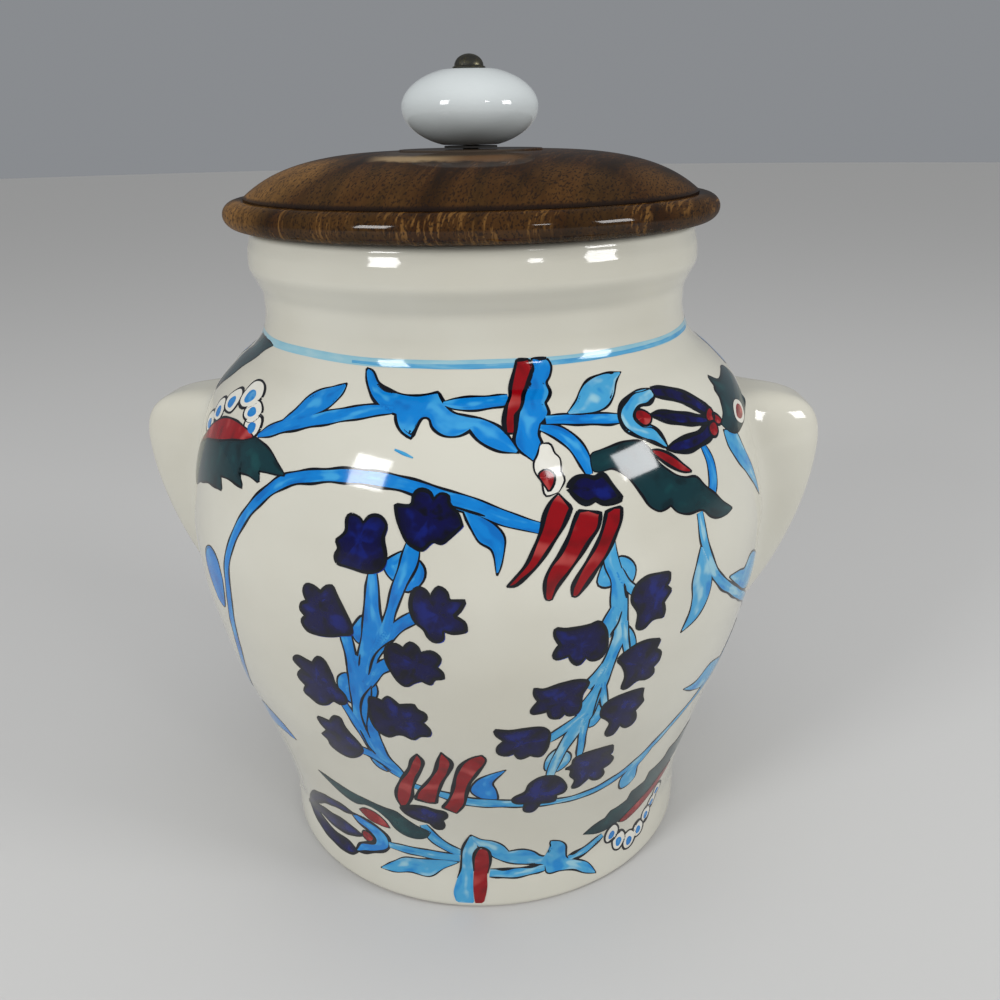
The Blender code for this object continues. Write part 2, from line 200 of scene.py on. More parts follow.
def timed_mix(now: Array, early: Array, late: Array, left: Array, right: Array) -> Array:
    """Return places on the straight way from left, at the early times, to right, at the late ones."""
    return (late - now) / (late - early) * left + (now - early) / (late - early) * right


def smooth_curve(points: Array, count: int, closed: bool = False) -> Array:
    """Return points spread evenly along a smooth curve through the given ones.

    Each stretch is a cubic whose slopes at its ends are half the chord between the neighbours on
    both sides, with the stretches timed by the square root of their length, so it neither loops
    nor overshoots. The curve is then read again at equal steps of length.

    Args:
        points: Places to pass through, one row each, with any number of values in a row.
        count: How many points to return.
        closed: Whether the curve comes back to its first point.

    Returns:
        The even points; a closed curve doesn't repeat its first.
    """
    if closed:
        padded = np.vstack([points[-1:], points, points[:2]])
    else:
        padded = np.vstack([2.0 * points[:1] - points[1:2], points, 2.0 * points[-1:] - points[-2:-1]])
    chord = np.maximum(np.linalg.norm(np.diff(padded[:, :2], axis=0), axis=1), TINY) ** 0.5
    knots = np.concatenate([[0.0], np.cumsum(chord)])
    time = np.linspace(knots[1], knots[-2], FINE_STEPS * len(points))
    cell = np.clip(np.searchsorted(knots, time, side="right") - 1, 1, len(padded) - 3)
    before, start, end, after = (padded[cell + step] for step in (-1, 0, 1, 2))
    t0, t1, t2, t3 = (knots[cell + step][:, None] for step in (-1, 0, 1, 2))
    now = time[:, None]
    middle = timed_mix(now, t1, t2, start, end)
    left = timed_mix(now, t0, t2, timed_mix(now, t0, t1, before, start), middle)
    right = timed_mix(now, t1, t3, middle, timed_mix(now, t2, t3, end, after))
    fine = timed_mix(now, t1, t2, left, right)
    length = np.concatenate([[0.0], np.cumsum(np.linalg.norm(np.diff(fine[:, :2], axis=0), axis=1))])
    wanted = np.linspace(0.0, length[-1], count, endpoint=not closed)
    return np.stack([np.interp(wanted, length, values) for values in fine.T], axis=-1)


# The jar's wall


@dataclass(frozen=True)
class PotShape:
    """Outline of the pot, from the foot up, with its two lugs; the same sizes as the CAD model."""

    foot_radius: float = 0.0707
    foot_height: float = 0.014
    foot_corner: float = 0.0024
    foot_ring_width: float = 0.0075
    foot_recess: float = 0.003
    foot_recess_slope: float = 0.002
    waist_radius: float = 0.0705
    belly_radius: float = 0.0942
    belly_height: float = 0.117
    neck_radius: float = 0.0655
    neck_height: float = 0.183
    rim_radius: float = 0.0692
    height: float = 0.2067
    mouth_radius: float = 0.0595
    lip_corner: float = 0.0022
    mouth_corner: float = 0.0015
    wall: float = 0.0055
    floor_height: float = 0.009
    floor_corner: float = 0.012
    lug_reach: float = 0.111
    lug_top: float = 0.1547
    lug_crest: float = 0.138
    lug_toe: float = 0.076
    lug_shelf_drop: float = 0.0008
    lug_flat_half: float = 0.004
    lug_root_half: float = 0.0235
    lug_corner_share: float = 0.75
    lug_crest_share: float = 0.32
    lug_toe_rise_share: float = 0.23
    lug_toe_spread_share: float = 0.57
    lug_toe_taper_share: float = 0.6
    lower_shares: Pairs = (
        (0.0, 0.0), (0.08, 0.05), (0.18, 0.15), (0.29, 0.29), (0.42, 0.47), (0.56, 0.68), (0.71, 0.845),
        (0.865, 0.968),
    )
    upper_shares: Pairs = (
        (0.0, 0.0), (0.24, 0.073), (0.47, 0.216), (0.64, 0.40), (0.76, 0.66), (0.83, 0.854), (0.91, 0.965),
    )
    rim_shares: Pairs = ((0.0, 0.0), (0.2, 0.03), (0.38, 0.49), (0.57, 1.0), (0.76, 0.93))

    def stations(self) -> tuple[Array, Array]:
        """Return the heights and radii that the outer wall passes through, foot to rim.

        Returns:
            Heights, and the radius at each.
        """
        stretches = (
            (self.foot_height, self.belly_height, self.waist_radius, self.belly_radius, self.lower_shares),
            (self.belly_height, self.neck_height, self.belly_radius, self.neck_radius, self.upper_shares),
            (self.neck_height, self.height, self.neck_radius, self.rim_radius, self.rim_shares),
        )
        heights = [self.foot_corner, self.foot_height / 2.0]
        radii = [self.foot_radius, self.foot_radius]
        for base, top, start, end, shares in stretches:
            heights += [base + (top - base) * up for up, _ in shares]
            radii += [start + (end - start) * out for _, out in shares]
        heights.append(self.height - self.lip_corner)
        radii.append(self.rim_radius - self.lip_corner / 2.0)
        return np.array(heights), np.array(radii)

    def radius(self, height: Array) -> Array:
        """Return the wall's radius: cubics through the stations, whose slopes there are the weighted
        harmonic mean of the slopes on both sides, and level where the outline turns.

        Args:
            height: Heights in metres.

        Returns:
            The radius at each height, without the lugs.
        """
        heights, radii = self.stations()
        lengths = np.diff(heights)
        slopes = np.diff(radii) / lengths
        product = slopes[:-1] * slopes[1:]
        same_way = product > 0.0
        near = lengths[:-1] + 2.0 * lengths[1:]
        far = 2.0 * lengths[:-1] + lengths[1:]
        weighed = np.where(same_way, far * slopes[1:] + near * slopes[:-1], 1.0)
        tangents = np.zeros(len(heights))
        tangents[1:-1] = np.where(same_way, product * (near + far) / weighed, 0.0)
        height = np.clip(height, heights[0], heights[-1])
        cell = np.clip(np.searchsorted(heights, height) - 1, 0, len(lengths) - 1)
        step = lengths[cell]
        share = (height - heights[cell]) / step
        rise = share**2 * (3.0 - 2.0 * share)
        pull = share * (1.0 - share) ** 2 * step * tangents[cell]
        push = share**2 * (share - 1.0) * step * tangents[cell + 1]
        return radii[cell] * (1.0 - rise) + radii[cell + 1] * rise + pull + push

    def lug_edge(self, height: Array) -> tuple[Array, Array]:
        """Return the radius and height of the lug's edge for each height on the wall.

        The edge is two cubic curves, a level shelf that turns a round corner down to the crest and a
        long taper from there to the toe; a height is read as a share of its own curve's fall.

        Args:
            height: Heights on the plain wall, between the toe and the top of the lug.

        Returns:
            The edge's radii and its heights.
        """
        top = np.array([self.radius(np.array(self.lug_top)), self.lug_top])
        crest = np.array([self.lug_reach, self.lug_crest])
        toe = np.array([self.radius(np.array(self.lug_toe)), self.lug_toe])
        out, drop, fall = crest[0] - top[0], top[1] - crest[1], crest[1] - toe[1]
        corner = (
            top,
            top + (out * self.lug_corner_share, -self.lug_shelf_drop),
            crest + (0.0, drop * self.lug_corner_share),
            crest,
        )
        flank = (
            crest,
            crest - (0.0, fall * self.lug_crest_share),
            toe + ((crest[0] - toe[0]) * self.lug_toe_spread_share, fall * self.lug_toe_rise_share),
            toe,
        )
        above = np.clip((self.lug_top - height) / drop, 0.0, 1.0)[..., None]
        below = np.clip((self.lug_crest - height) / fall, 0.0, 1.0)[..., None]
        edge = np.where(height[..., None] > self.lug_crest, cubic(corner, above), cubic(flank, below))
        return edge[..., 0], edge[..., 1]

    def outside(self, turn: Array, height: Array) -> Array:
        """Return places on the outer wall.

        The plain wall is moved towards the lug's edge by a strength that is 1 over the crest and falls
        to 0 at the root of the lug's sides as the quintic 6x^5 - 15x^4 + 10x^3.

        Args:
            turn: Angles from the front, -Y, towards +X, in radians.
            height: Heights on the plain wall.

        Returns:
            An array of places, with one more dimension than the angles.
        """
        body = self.radius(height)
        reach, level = self.lug_edge(height)
        toe_share = np.clip((self.lug_crest - height) / (self.lug_crest - self.lug_toe), 0.0, 1.0)
        narrow = 1.0 - (1.0 - self.lug_toe_taper_share) * toe_share
        beside = np.abs(np.mod(turn, math.pi) - math.pi / 2.0) * self.belly_radius
        root, flat = self.lug_root_half * narrow, self.lug_flat_half * narrow
        share = np.clip((root - beside) / (root - flat), 0.0, 1.0)
        strength = share**3 * (share * (6.0 * share - 15.0) + 10.0)
        strength = np.where((height < self.lug_toe) | (height > self.lug_top), 0.0, strength)
        radius = body + strength * (reach - body)
        lift = height + strength * (level - height)
        return np.stack([radius * np.sin(turn), -radius * np.cos(turn), lift], axis=-1)


def cubic(handles: tuple[Array, ...], share: Array) -> Array:
    """Return points of the cubic curve with these four handles, at shares from 0 to 1.

    Args:
        handles: The curve's four handles.
        share: Shares of the way along it.

    Returns:
        The points.
    """
    rest = 1.0 - share
    near = rest**3 * handles[0] + 3.0 * rest**2 * share * handles[1]
    return near + 3.0 * rest * share**2 * handles[2] + share**3 * handles[3]


def arc(centre: Spot, reach: float, rise: float, start: float, end: float, count: int) -> Array:
    """Return radius and height along an ellipse's arc, from angle start to angle end in degrees."""
    angle = np.radians(np.linspace(start, end, count))
    return np.stack([centre[0] + reach * np.cos(angle), centre[1] + rise * np.sin(angle)], axis=-1)


@dataclass
class Wall:
    """The outer wall unrolled: u in millimetres round the belly, s in millimetres up the wall."""

    shape: PotShape
    samples: int = 2000
    heights: Array = field(init=False)
    lengths: Array = field(init=False)

    def __post_init__(self) -> None:
        """Measure the length of the plain wall from the foot's corner up to every height."""
        top = self.shape.height - self.shape.lip_corner
        self.heights = np.linspace(self.shape.foot_corner, top, self.samples)
        steps = np.hypot(np.diff(self.heights), np.diff(self.shape.radius(self.heights)))
        self.lengths = np.concatenate([[0.0], np.cumsum(steps)]) / MM

    def place(self, flat: Array, lift: float = 0.0) -> Array:
        """Return the places on the wall of unrolled points.

        Args:
            flat: Array whose last dimension is u and s.
            lift: How far to stand off the wall, along its normal, in metres.

        Returns:
            Array of the same form, whose last dimension is X, Y and Z.
        """
        turn = flat[..., 0] * MM / self.shape.belly_radius
        height = np.interp(flat[..., 1], self.lengths, self.heights)
        spot = self.shape.outside(turn, height)
        if lift == 0.0:
            return spot
        nudge = 0.0002
        aside = self.shape.outside(turn + nudge, height) - self.shape.outside(turn - nudge, height)
        low = np.maximum(height - nudge * self.shape.belly_radius, self.heights[0])
        high = np.minimum(height + nudge * self.shape.belly_radius, self.heights[-1])
        upwards = self.shape.outside(turn, high) - self.shape.outside(turn, low)
        normal = np.cross(aside, upwards)
        return spot + lift * normal / np.linalg.norm(normal, axis=-1, keepdims=True)


# Node trees


class Recipe:
    """Short hand for adding nodes to one tree and joining their sockets."""

    def __init__(self, tree: Tree) -> None:
        """Take the tree that the nodes go into."""
        self.tree = tree

    def join(self, socket: Socket, value: Value) -> None:
        """Set an input, as a link from a socket or as a constant.

        Args:
            socket: The input.
            value: A socket, a number or three numbers.
        """
        if isinstance(value, Socket):
            self.tree.links.new(value, socket)
        else:
            socket.default_value = value

    def add(self, kind: str, **settings: object) -> Node:
        """Add a node.

        Args:
            kind: The node's type, such as ShaderNodeTexNoise.
            settings: Attributes of the node by name; where the node has none of that name, the value
                goes to the input of that name with underscores read as blanks.

        Returns:
            The new node.
        """
        node = self.tree.nodes.new(kind)
        inputs = {}
        for name, value in settings.items():
            if hasattr(node, name):
                setattr(node, name, value)
            else:
                inputs[name] = value
        self.feed(node, **inputs)
        return node

    def feed(self, node: Node, **values: Value) -> None:
        """Set enabled inputs of a node by name, with underscores read as blanks.

        Args:
            node: The node.
            values: What goes into each input, by its name.
        """
        for name, value in values.items():
            label = name.replace("_", " ")
            target = next(socket for socket in node.inputs if socket.name == label and socket.enabled)
            self.join(target, value)

    def place(self) -> Socket:
        """Return the place on the piece, in metres."""
        return self.add("ShaderNodeTexCoord").outputs["Object"]

    def parts(self, place: Value) -> bpy.types.NodeOutputs:
        """Return the X, Y and Z of a place as a node's outputs."""
        return self.add("ShaderNodeSeparateXYZ", Vector=place).outputs

    def maths(self, operation: str, *values: Value) -> Socket:
        """Return the result of a Math node on numbers or sockets.

        Args:
            operation: The node's operation.
            values: What goes into its inputs, in order.

        Returns:
            The result.
        """
        node = self.add("ShaderNodeMath", operation=operation)
        for socket, value in zip(node.inputs, values):
            self.join(socket, value)
        return node.outputs[0]

    def product(self, first: Value, *others: Value) -> Socket:
        """Return the product of numbers or sockets, multiplied from the left.

        Args:
            first: First factor.
            others: The other factors.

        Returns:
            The product.
        """
        for other in others:
            first = self.maths("MULTIPLY", first, other)
        return first

    def mix(self, factor: Value, first: Value, second: Value) -> Socket:
        """Return a mix of two colours, by a number or a socket.

        Args:
            factor: Share of the second colour.
            first: First colour.
            second: Second colour.

        Returns:
            The mixed colour.
        """
        node = self.add("ShaderNodeMix", data_type="RGBA")
        self.join(node.inputs[0], factor)
        for socket, value in ((node.inputs[6], first), (node.inputs[7], second)):
            self.join(socket, value if isinstance(value, Socket) else (*value, 1.0))
        return node.outputs[2]

    def span(self, value: Value, low: float, high: float, start: float = 0.0, end: float = 1.0) -> Socket:
        """Return a value moved smoothly from one range to another, and held at its ends.

        Args:
            value: What is moved.
            low: Low end of the first range.
            high: Its high end.
            start: Result at the low end.
            end: Result at the high end.

        Returns:
            The moved value.
        """
        node = self.add("ShaderNodeMapRange", interpolation_type="SMOOTHSTEP", Value=value)
        self.feed(node, From_Min=low, From_Max=high, To_Min=start, To_Max=end)
        return node.outputs["Result"]

    def noise(self, place: Value, scale: float, detail: float = 2.0, rough: float = 0.5) -> Value:
        """Return the value of a noise at a place."""
        settings = {"Scale": scale, "Detail": detail, "Roughness": rough}
        return self.add("ShaderNodeTexNoise", Vector=place, **settings).outputs[0]

    def stretched(self, place: Value, scale: Triple, turn: float = 0.0) -> Value:
        """Return a place that is first turned about Z by degrees, and then scaled along each axis.

        Args:
            place: The place.
            scale: Factor along each axis.
            turn: Angle in degrees.

        Returns:
            The new place.
        """
        if turn:
            angles = (0.0, 0.0, math.radians(turn))
            place = self.add("ShaderNodeMapping", Vector=place, Rotation=angles).outputs[0]
        return self.add("ShaderNodeMapping", Vector=place, Scale=scale).outputs[0]

    def dress(self, shader: Node, tone: Value, rough: Value, height: Value, **others: float) -> None:
        """Feed a Principled shader.

        Args:
            shader: The shader.
            tone: Its base colour.
            rough: Its roughness.
            height: Height of its relief in metres, for a Bump node that takes it at its true size.
            others: Constants for its other inputs, by name with underscores for blanks.
        """
        bump = self.add("ShaderNodeBump", Height=height, Distance=1.0)
        self.feed(shader, Base_Color=tone, Roughness=rough, Normal=bump.outputs["Normal"], **others)


def new_group(
    name: str, inputs: dict[str, float], outputs: tuple[str, ...]
) -> tuple[Tree, Recipe, bpy.types.NodeOutputs, Node]:
    """Start a shader node group.

    Args:
        name: The group's name.
        inputs: Names of its number inputs, and their usual values.
        outputs: Names of its number outputs.

    Returns:
        The group, a recipe for it, its input node's outputs and its output node.
    """
    tree = bpy.data.node_groups.new(name, "ShaderNodeTree")
    for label, value in inputs.items():
        socket = tree.interface.new_socket(label, in_out="INPUT", socket_type="NodeSocketFloat")
        socket.default_value = value
    for label in outputs:
        tree.interface.new_socket(label, in_out="OUTPUT", socket_type="NodeSocketFloat")
    recipe = Recipe(tree)
    return tree, recipe, recipe.add("NodeGroupInput").outputs, recipe.add("NodeGroupOutput")


def new_material(name: str, slot: Slot) -> tuple[Material, Recipe, Node]:
    """Start a material, and return it with a recipe and its Principled shader.

    Args:
        name: The material's name.
        slot: Its slot in the record.

    Returns:
        The material, its recipe and its shader.
    """
    material = bpy.data.materials.new(name)
    material.use_nodes = True
    material["slot"] = slot.value
    return material, Recipe(material.node_tree), material.node_tree.nodes["Principled BSDF"]


@dataclass(frozen=True)
class GlazeSkin:
    """Skin of a fired glaze: long ripples, fine orange peel, duller smears and a few dark specks."""

    ripple_scale: float = 26.0
    ripple_height: float = 0.00022
    peel_scale: float = 420.0
    peel_height: float = 0.0000022
    smear_scale: float = 60.0
    smear_dulling: float = 0.05
    cell_scale: float = 150.0
    bare_share: float = 0.972
    least_speck: float = 0.03
    more_speck: float = 0.10

    def group(self) -> Tree:
        """Build the node group; it puts out a height in metres, a roughness and a mask of specks.

        Returns:
            The group.
        """
        usual = {"Roughness": 0.07, "Ripple": 1.0, "Specks": 1.0}
        tree, recipe, given, result = new_group("glaze_skin", usual, ("Height", "Roughness", "Speck"))
        place = recipe.place()
        wave = recipe.product(recipe.noise(place, self.ripple_scale, 1.0), given["Ripple"])
        peel = recipe.product(recipe.noise(place, self.peel_scale), self.peel_height)
        cells = recipe.add("ShaderNodeTexVoronoi", Vector=place, Scale=self.cell_scale, Randomness=1.0)
        rare = recipe.add("ShaderNodeSeparateColor", Color=cells.outputs["Color"]).outputs
        chosen = recipe.maths("GREATER_THAN", rare["Red"], self.bare_share)
        size = recipe.maths("MULTIPLY_ADD", rare["Green"], self.more_speck, self.least_speck)
        dot = recipe.maths("LESS_THAN", cells.outputs["Distance"], size)
        dulled = recipe.span(recipe.noise(place, self.smear_scale, 3.0), 0.55, 0.8, 0.0, self.smear_dulling)
        recipe.feed(
            result,
            Height=recipe.maths("MULTIPLY_ADD", wave, self.ripple_height, peel),
            Roughness=recipe.maths("ADD", given["Roughness"], dulled),
            Speck=recipe.product(chosen, dot, given["Specks"]),
        )
        return tree


@dataclass(frozen=True)
class Glaze:
    """A clear shining glaze over a pale body, which is bare and gritty below a height if one is given."""

    name: str
    colour: Colour
    pooled: Colour
    slot: Slot = Slot.GLAZE
    roughness: float = 0.07
    ripple: float = 1.0
    specks: float = 1.0
    bare_below: float | None = None
    cloud_scale: float = 17.0
    grit_scale: float = 900.0
    bare_roughness: float = 0.85
    bare_colour: Colour = (0.62, 0.55, 0.45)
    grit_colour: Colour = (0.4, 0.34, 0.26)
    speck_colour: Colour = (0.10, 0.085, 0.07)

    def material(self, skin: Tree) -> Material:
        """Build the material on the glaze skin's group, its two tones drifting in clouds.

        Args:
            skin: The glaze skin's group.

        Returns:
            The material.
        """
        material, recipe, shader = new_material(self.name, self.slot)
        place = recipe.place()
        values = {"Roughness": self.roughness, "Ripple": self.ripple, "Specks": self.specks}
        group = recipe.add("ShaderNodeGroup", node_tree=skin, **values).outputs
        cloud = recipe.span(recipe.noise(place, self.cloud_scale, 3.0), 0.35, 0.7)
        tone = recipe.mix(group["Speck"], recipe.mix(cloud, self.colour, self.pooled), self.speck_colour)
        rough = group["Roughness"]
        if self.bare_below is not None:
            bare = recipe.maths("LESS_THAN", recipe.parts(place)["Z"], self.bare_below)
            grit = recipe.span(recipe.noise(place, self.grit_scale, 3.0), 0.3, 0.7, 0.75, 1.0)
            tone = recipe.mix(bare, tone, recipe.mix(grit, self.grit_colour, self.bare_colour))
            rough = recipe.maths("MAXIMUM", rough, recipe.product(bare, self.bare_roughness))
        recipe.dress(shader, tone, rough, group["Height"], IOR=GLAZE_IOR)
        return material


@dataclass(frozen=True)
class StainedWood:
    """A close-grained hardwood, stained dark brown and varnished, rubbed lighter in places.

    The year rings, fibres and pores are noises stretched along the grain, which ends at the front, so
    they stand upright on the bead there. Round patches, each x, y, reach and amount, took less stain.
    A patch before the knob is rubbed dull, its grey partly wear and partly painted sheen, with bare wood
    along its lower edge, painted brighter at the left as painted light from that side.
    """

    name: str = "stained_wood"
    golden: Colour = (0.20, 0.098, 0.025)
    brown: Colour = (0.028, 0.010, 0.002)
    dark: Colour = (0.012, 0.005, 0.001)
    # Rubbed patch: a grey of wear and painted sheen; its edge has a painted lit side and a shaded side.
    worn_and_sheen: Colour = (0.045, 0.034, 0.025)
    bare: Colour = (0.27, 0.19, 0.10)
    amber_shaded_side: Colour = (0.11, 0.058, 0.026)
    pore_colour: Colour = (0.010, 0.005, 0.003)
    step_shade: Colour = (0.008, 0.004, 0.003)
    ring_scale: Triple = (130.0, 22.0, 40.0)
    fibre_scale: Triple = (1000.0, 110.0, 150.0)
    pore_scale: Triple = (2000.0, 650.0, 1300.0)
    grain_turn: float = 14.0
    fibre_depth: float = 0.00005
    swell_depth: float = 0.00012
    roughness: float = 0.15
    step_radius: float = 0.0688
    step_edge: float = 0.001
    rub_middle: float = -0.003
    rub_ragged: float = 0.008
    rub_sides: Spot = (0.015, 0.024)
    rub_back: Spot = (-0.014, -0.004)
    rub_end: Spot = (0.047, 0.051)
    edge_start: Spot = (0.038, 0.044)
    edge_light_fade: Spot = (-0.010, 0.004)
    spots: tuple[tuple[float, float, float, float], ...] = (
        (-0.054, -0.034, 0.027, 1.0), (-0.026, -0.062, 0.026, 0.25), (0.012, -0.068, 0.020, 0.18),
        (0.034, -0.054, 0.020, 0.22), (0.062, -0.034, 0.022, 0.26), (-0.030, 0.045, 0.030, 0.8),
        (0.036, 0.040, 0.026, 0.7),
    )

    def material(self) -> Material:
        """Build the material under its varnish, with a painted shade line in the step beside the bead.

        Returns:
            The material.
        """
        material, recipe, shader = new_material(self.name, Slot.WOOD)
        place = recipe.place()
        scales = (self.ring_scale, self.fibre_scale, self.pore_scale)
        along, fibre, pore = (recipe.stretched(place, scale, self.grain_turn) for scale in scales)
        ring = recipe.noise(along, 1.0, 3.0, 0.6)
        thread = recipe.noise(fibre, 1.0, 2.0, 0.6)
        hollow = recipe.span(recipe.noise(pore, 1.0, 1.0), 0.55, 0.63)
        golden = recipe.product(
            self.spot_mask(recipe, place),
            recipe.span(recipe.noise(place, 55.0, 4.0, 0.6), 0.34, 0.58, 0.65, 1.0),
            recipe.span(ring, 0.38, 0.60, 0.80, 1.0),
            recipe.span(thread, 0.34, 0.62, 0.65, 1.0),
        )
        radius = self.radius(recipe, place)
        on_bead = recipe.span(radius, self.step_radius, self.step_radius + self.step_edge, 0.15, 0.6)
        streak = recipe.product(recipe.span(thread, 0.48, 0.62), recipe.span(ring, 0.44, 0.58), on_bead)
        tone = recipe.mix(recipe.span(ring, 0.38, 0.62), self.dark, self.brown)
        tone = recipe.mix(recipe.maths("MAXIMUM", golden, streak), tone, self.golden)
        tone = recipe.mix(recipe.product(hollow, 0.75), tone, self.pore_colour)
        tone = self.rubbed(recipe, place, tone)
        # Painted shade: a dark line in the step between the bead and the dome.
        step = recipe.maths("ABSOLUTE", recipe.maths("SUBTRACT", radius, self.step_radius))
        tone = recipe.mix(recipe.span(step, 0.0002, 0.0012, 0.85, 0.0), tone, self.step_shade)
        scuffs = recipe.span(recipe.noise(place, 130.0, 4.0, 0.65), 0.45, 0.75, 0.0, 0.16)
        raised = recipe.product(thread, self.fibre_depth)
        relief = recipe.maths("MULTIPLY_ADD", hollow, -self.fibre_depth, raised)
        height = recipe.maths("MULTIPLY_ADD", recipe.noise(place, 70.0), self.swell_depth, relief)
        varnish = {"Coat_Weight": 0.2, "Coat_IOR": 1.9, "Coat_Roughness": 0.07}
        rough = recipe.maths("ADD", scuffs, self.roughness)
        recipe.dress(shader, tone, rough, height, IOR=1.4, Specular_IOR_Level=0.0, **varnish)
        return material

    def spot_mask(self, recipe: Recipe, place: Value) -> Value:
        """Return a mask of the soft round patches, seen from above.

        Args:
            recipe: The material's recipe.
            place: Place on the lid.

        Returns:
            The mask.
        """
        flat = recipe.stretched(place, (1.0, 1.0, 0.0))
        mask = 0.0
        for x, y, reach, amount in self.spots:
            far = recipe.add("ShaderNodeVectorMath", operation="DISTANCE")
            recipe.join(far.inputs[0], flat)
            recipe.join(far.inputs[1], (x, y, 0.0))
            patch = recipe.span(far.outputs["Value"], 0.4 * reach, reach, amount, 0.0)
            mask = recipe.maths("MAXIMUM", mask, patch)
        return mask

    def radius(self, recipe: Recipe, place: Value) -> Value:
        """Return the distance of a place from the Z axis.

        Args:
            recipe: The material's recipe.
            place: Place on the lid.

        Returns:
            The distance in metres.
        """
        parts = recipe.parts(place)
        square = recipe.product(parts["Y"], parts["Y"])
        return recipe.maths("SQRT", recipe.maths("MULTIPLY_ADD", parts["X"], parts["X"], square))

    def rubbed(self, recipe: Recipe, place: Value, tone: Value) -> Value:
        """Return the tone with the rubbed patch of wear and painted sheen, painted lighter at the left.

        Args:
            recipe: The material's recipe.
            place: Place on the lid.
            tone: The wood's tone.

        Returns:
            The new tone.
        """
        parts = recipe.parts(place)
        ragged = recipe.noise(place, 170.0, 4.0, 0.65)
        reach = recipe.maths("MULTIPLY_ADD", ragged, self.rub_ragged, self.radius(recipe, place))
        aside = recipe.maths("ABSOLUTE", recipe.maths("ADD", parts["X"], -self.rub_middle))
        # The patch's dull grey is partly wear and partly painted sheen.
        mask = recipe.product(
            recipe.span(reach, *self.rub_end, 1.0, 0.0),
            recipe.span(aside, *self.rub_sides, 0.9, 0.0),
            recipe.span(parts["Y"], *self.rub_back, 1.0, 0.0),
        )
        # Painted light: the edge is brighter at the left, where light falls, than at the right.
        edge = recipe.mix(recipe.span(parts["X"], *self.edge_light_fade), self.bare, self.amber_shaded_side)
        return recipe.mix(mask, tone, recipe.mix(recipe.span(reach, *self.edge_start), self.worn_and_sheen, edge))


@dataclass(frozen=True)
class Patina:
    """Metal that has darkened: bright where it is rubbed, dull and green-brown elsewhere."""

    name: str
    metal: Colour
    tarnish: Colour
    slot: Slot
    cover: float = 0.75
    roughness: float = 0.35
    depth: float = 0.00006

    def material(self) -> Material:
        """Build the material: patches of tarnish from a noise, rougher than the metal.

        Returns:
            The material.
        """
        material, recipe, shader = new_material(self.name, self.slot)
        blotch = recipe.noise(recipe.place(), 900.0, 4.0, 0.65)
        cover = recipe.span(blotch, 0.62 - 0.4 * self.cover, 0.72 - 0.2 * self.cover)
        tone = recipe.mix(cover, self.metal, self.tarnish)
        rough = recipe.maths("MULTIPLY_ADD", cover, 0.25, self.roughness)
        metallic = recipe.maths("MULTIPLY_ADD", cover, -0.45, 1.0)
        recipe.dress(shader, tone, rough, recipe.product(blotch, self.depth), Metallic=metallic)
        return material


@dataclass(frozen=True)
class SoftSeal:
    """A moulded elastomer or a fibre: matt, with a fine tooth."""

    name: str
    colour: Colour
    slot: Slot
    roughness: float = 0.5
    depth: float = 0.0
    tooth: float = 0.00004

    def material(self) -> Material:
        """Build the material: a slight mottle of tone and roughness over a fine bump.

        Returns:
            The material.
        """
        material, recipe, shader = new_material(self.name, self.slot)
        mottle = recipe.noise(recipe.place(), 500.0, 3.0)
        deeper = tuple(0.82 * value for value in self.colour)
        tone = recipe.mix(recipe.span(mottle, 0.3, 0.7), deeper, self.colour)
        rough = recipe.maths("MULTIPLY_ADD", mottle, 0.2, self.roughness - 0.1)
        inside = {"Subsurface_Weight": self.depth, "Subsurface_Scale": 0.002}
        recipe.dress(shader, tone, rough, recipe.product(mottle, self.tooth), **inside)
        return material


# The jar


def finish_piece(thing: Thing, body: str, nodes: tuple[str, ...], finish: Material) -> None:
    """Give a piece its material, its body and the CAD nodes that it stands for.

    Args:
        thing: The piece.
        body: Its body in the record.
        nodes: The CAD nodes it replaces, none for an added piece.
        finish: Its material.
    """
    thing.data.materials.append(finish)
    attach(thing, body)
    if nodes:
        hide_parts(*nodes)
    log.info("%s: %d faces on body %s", thing.name, len(thing.data.polygons), body)


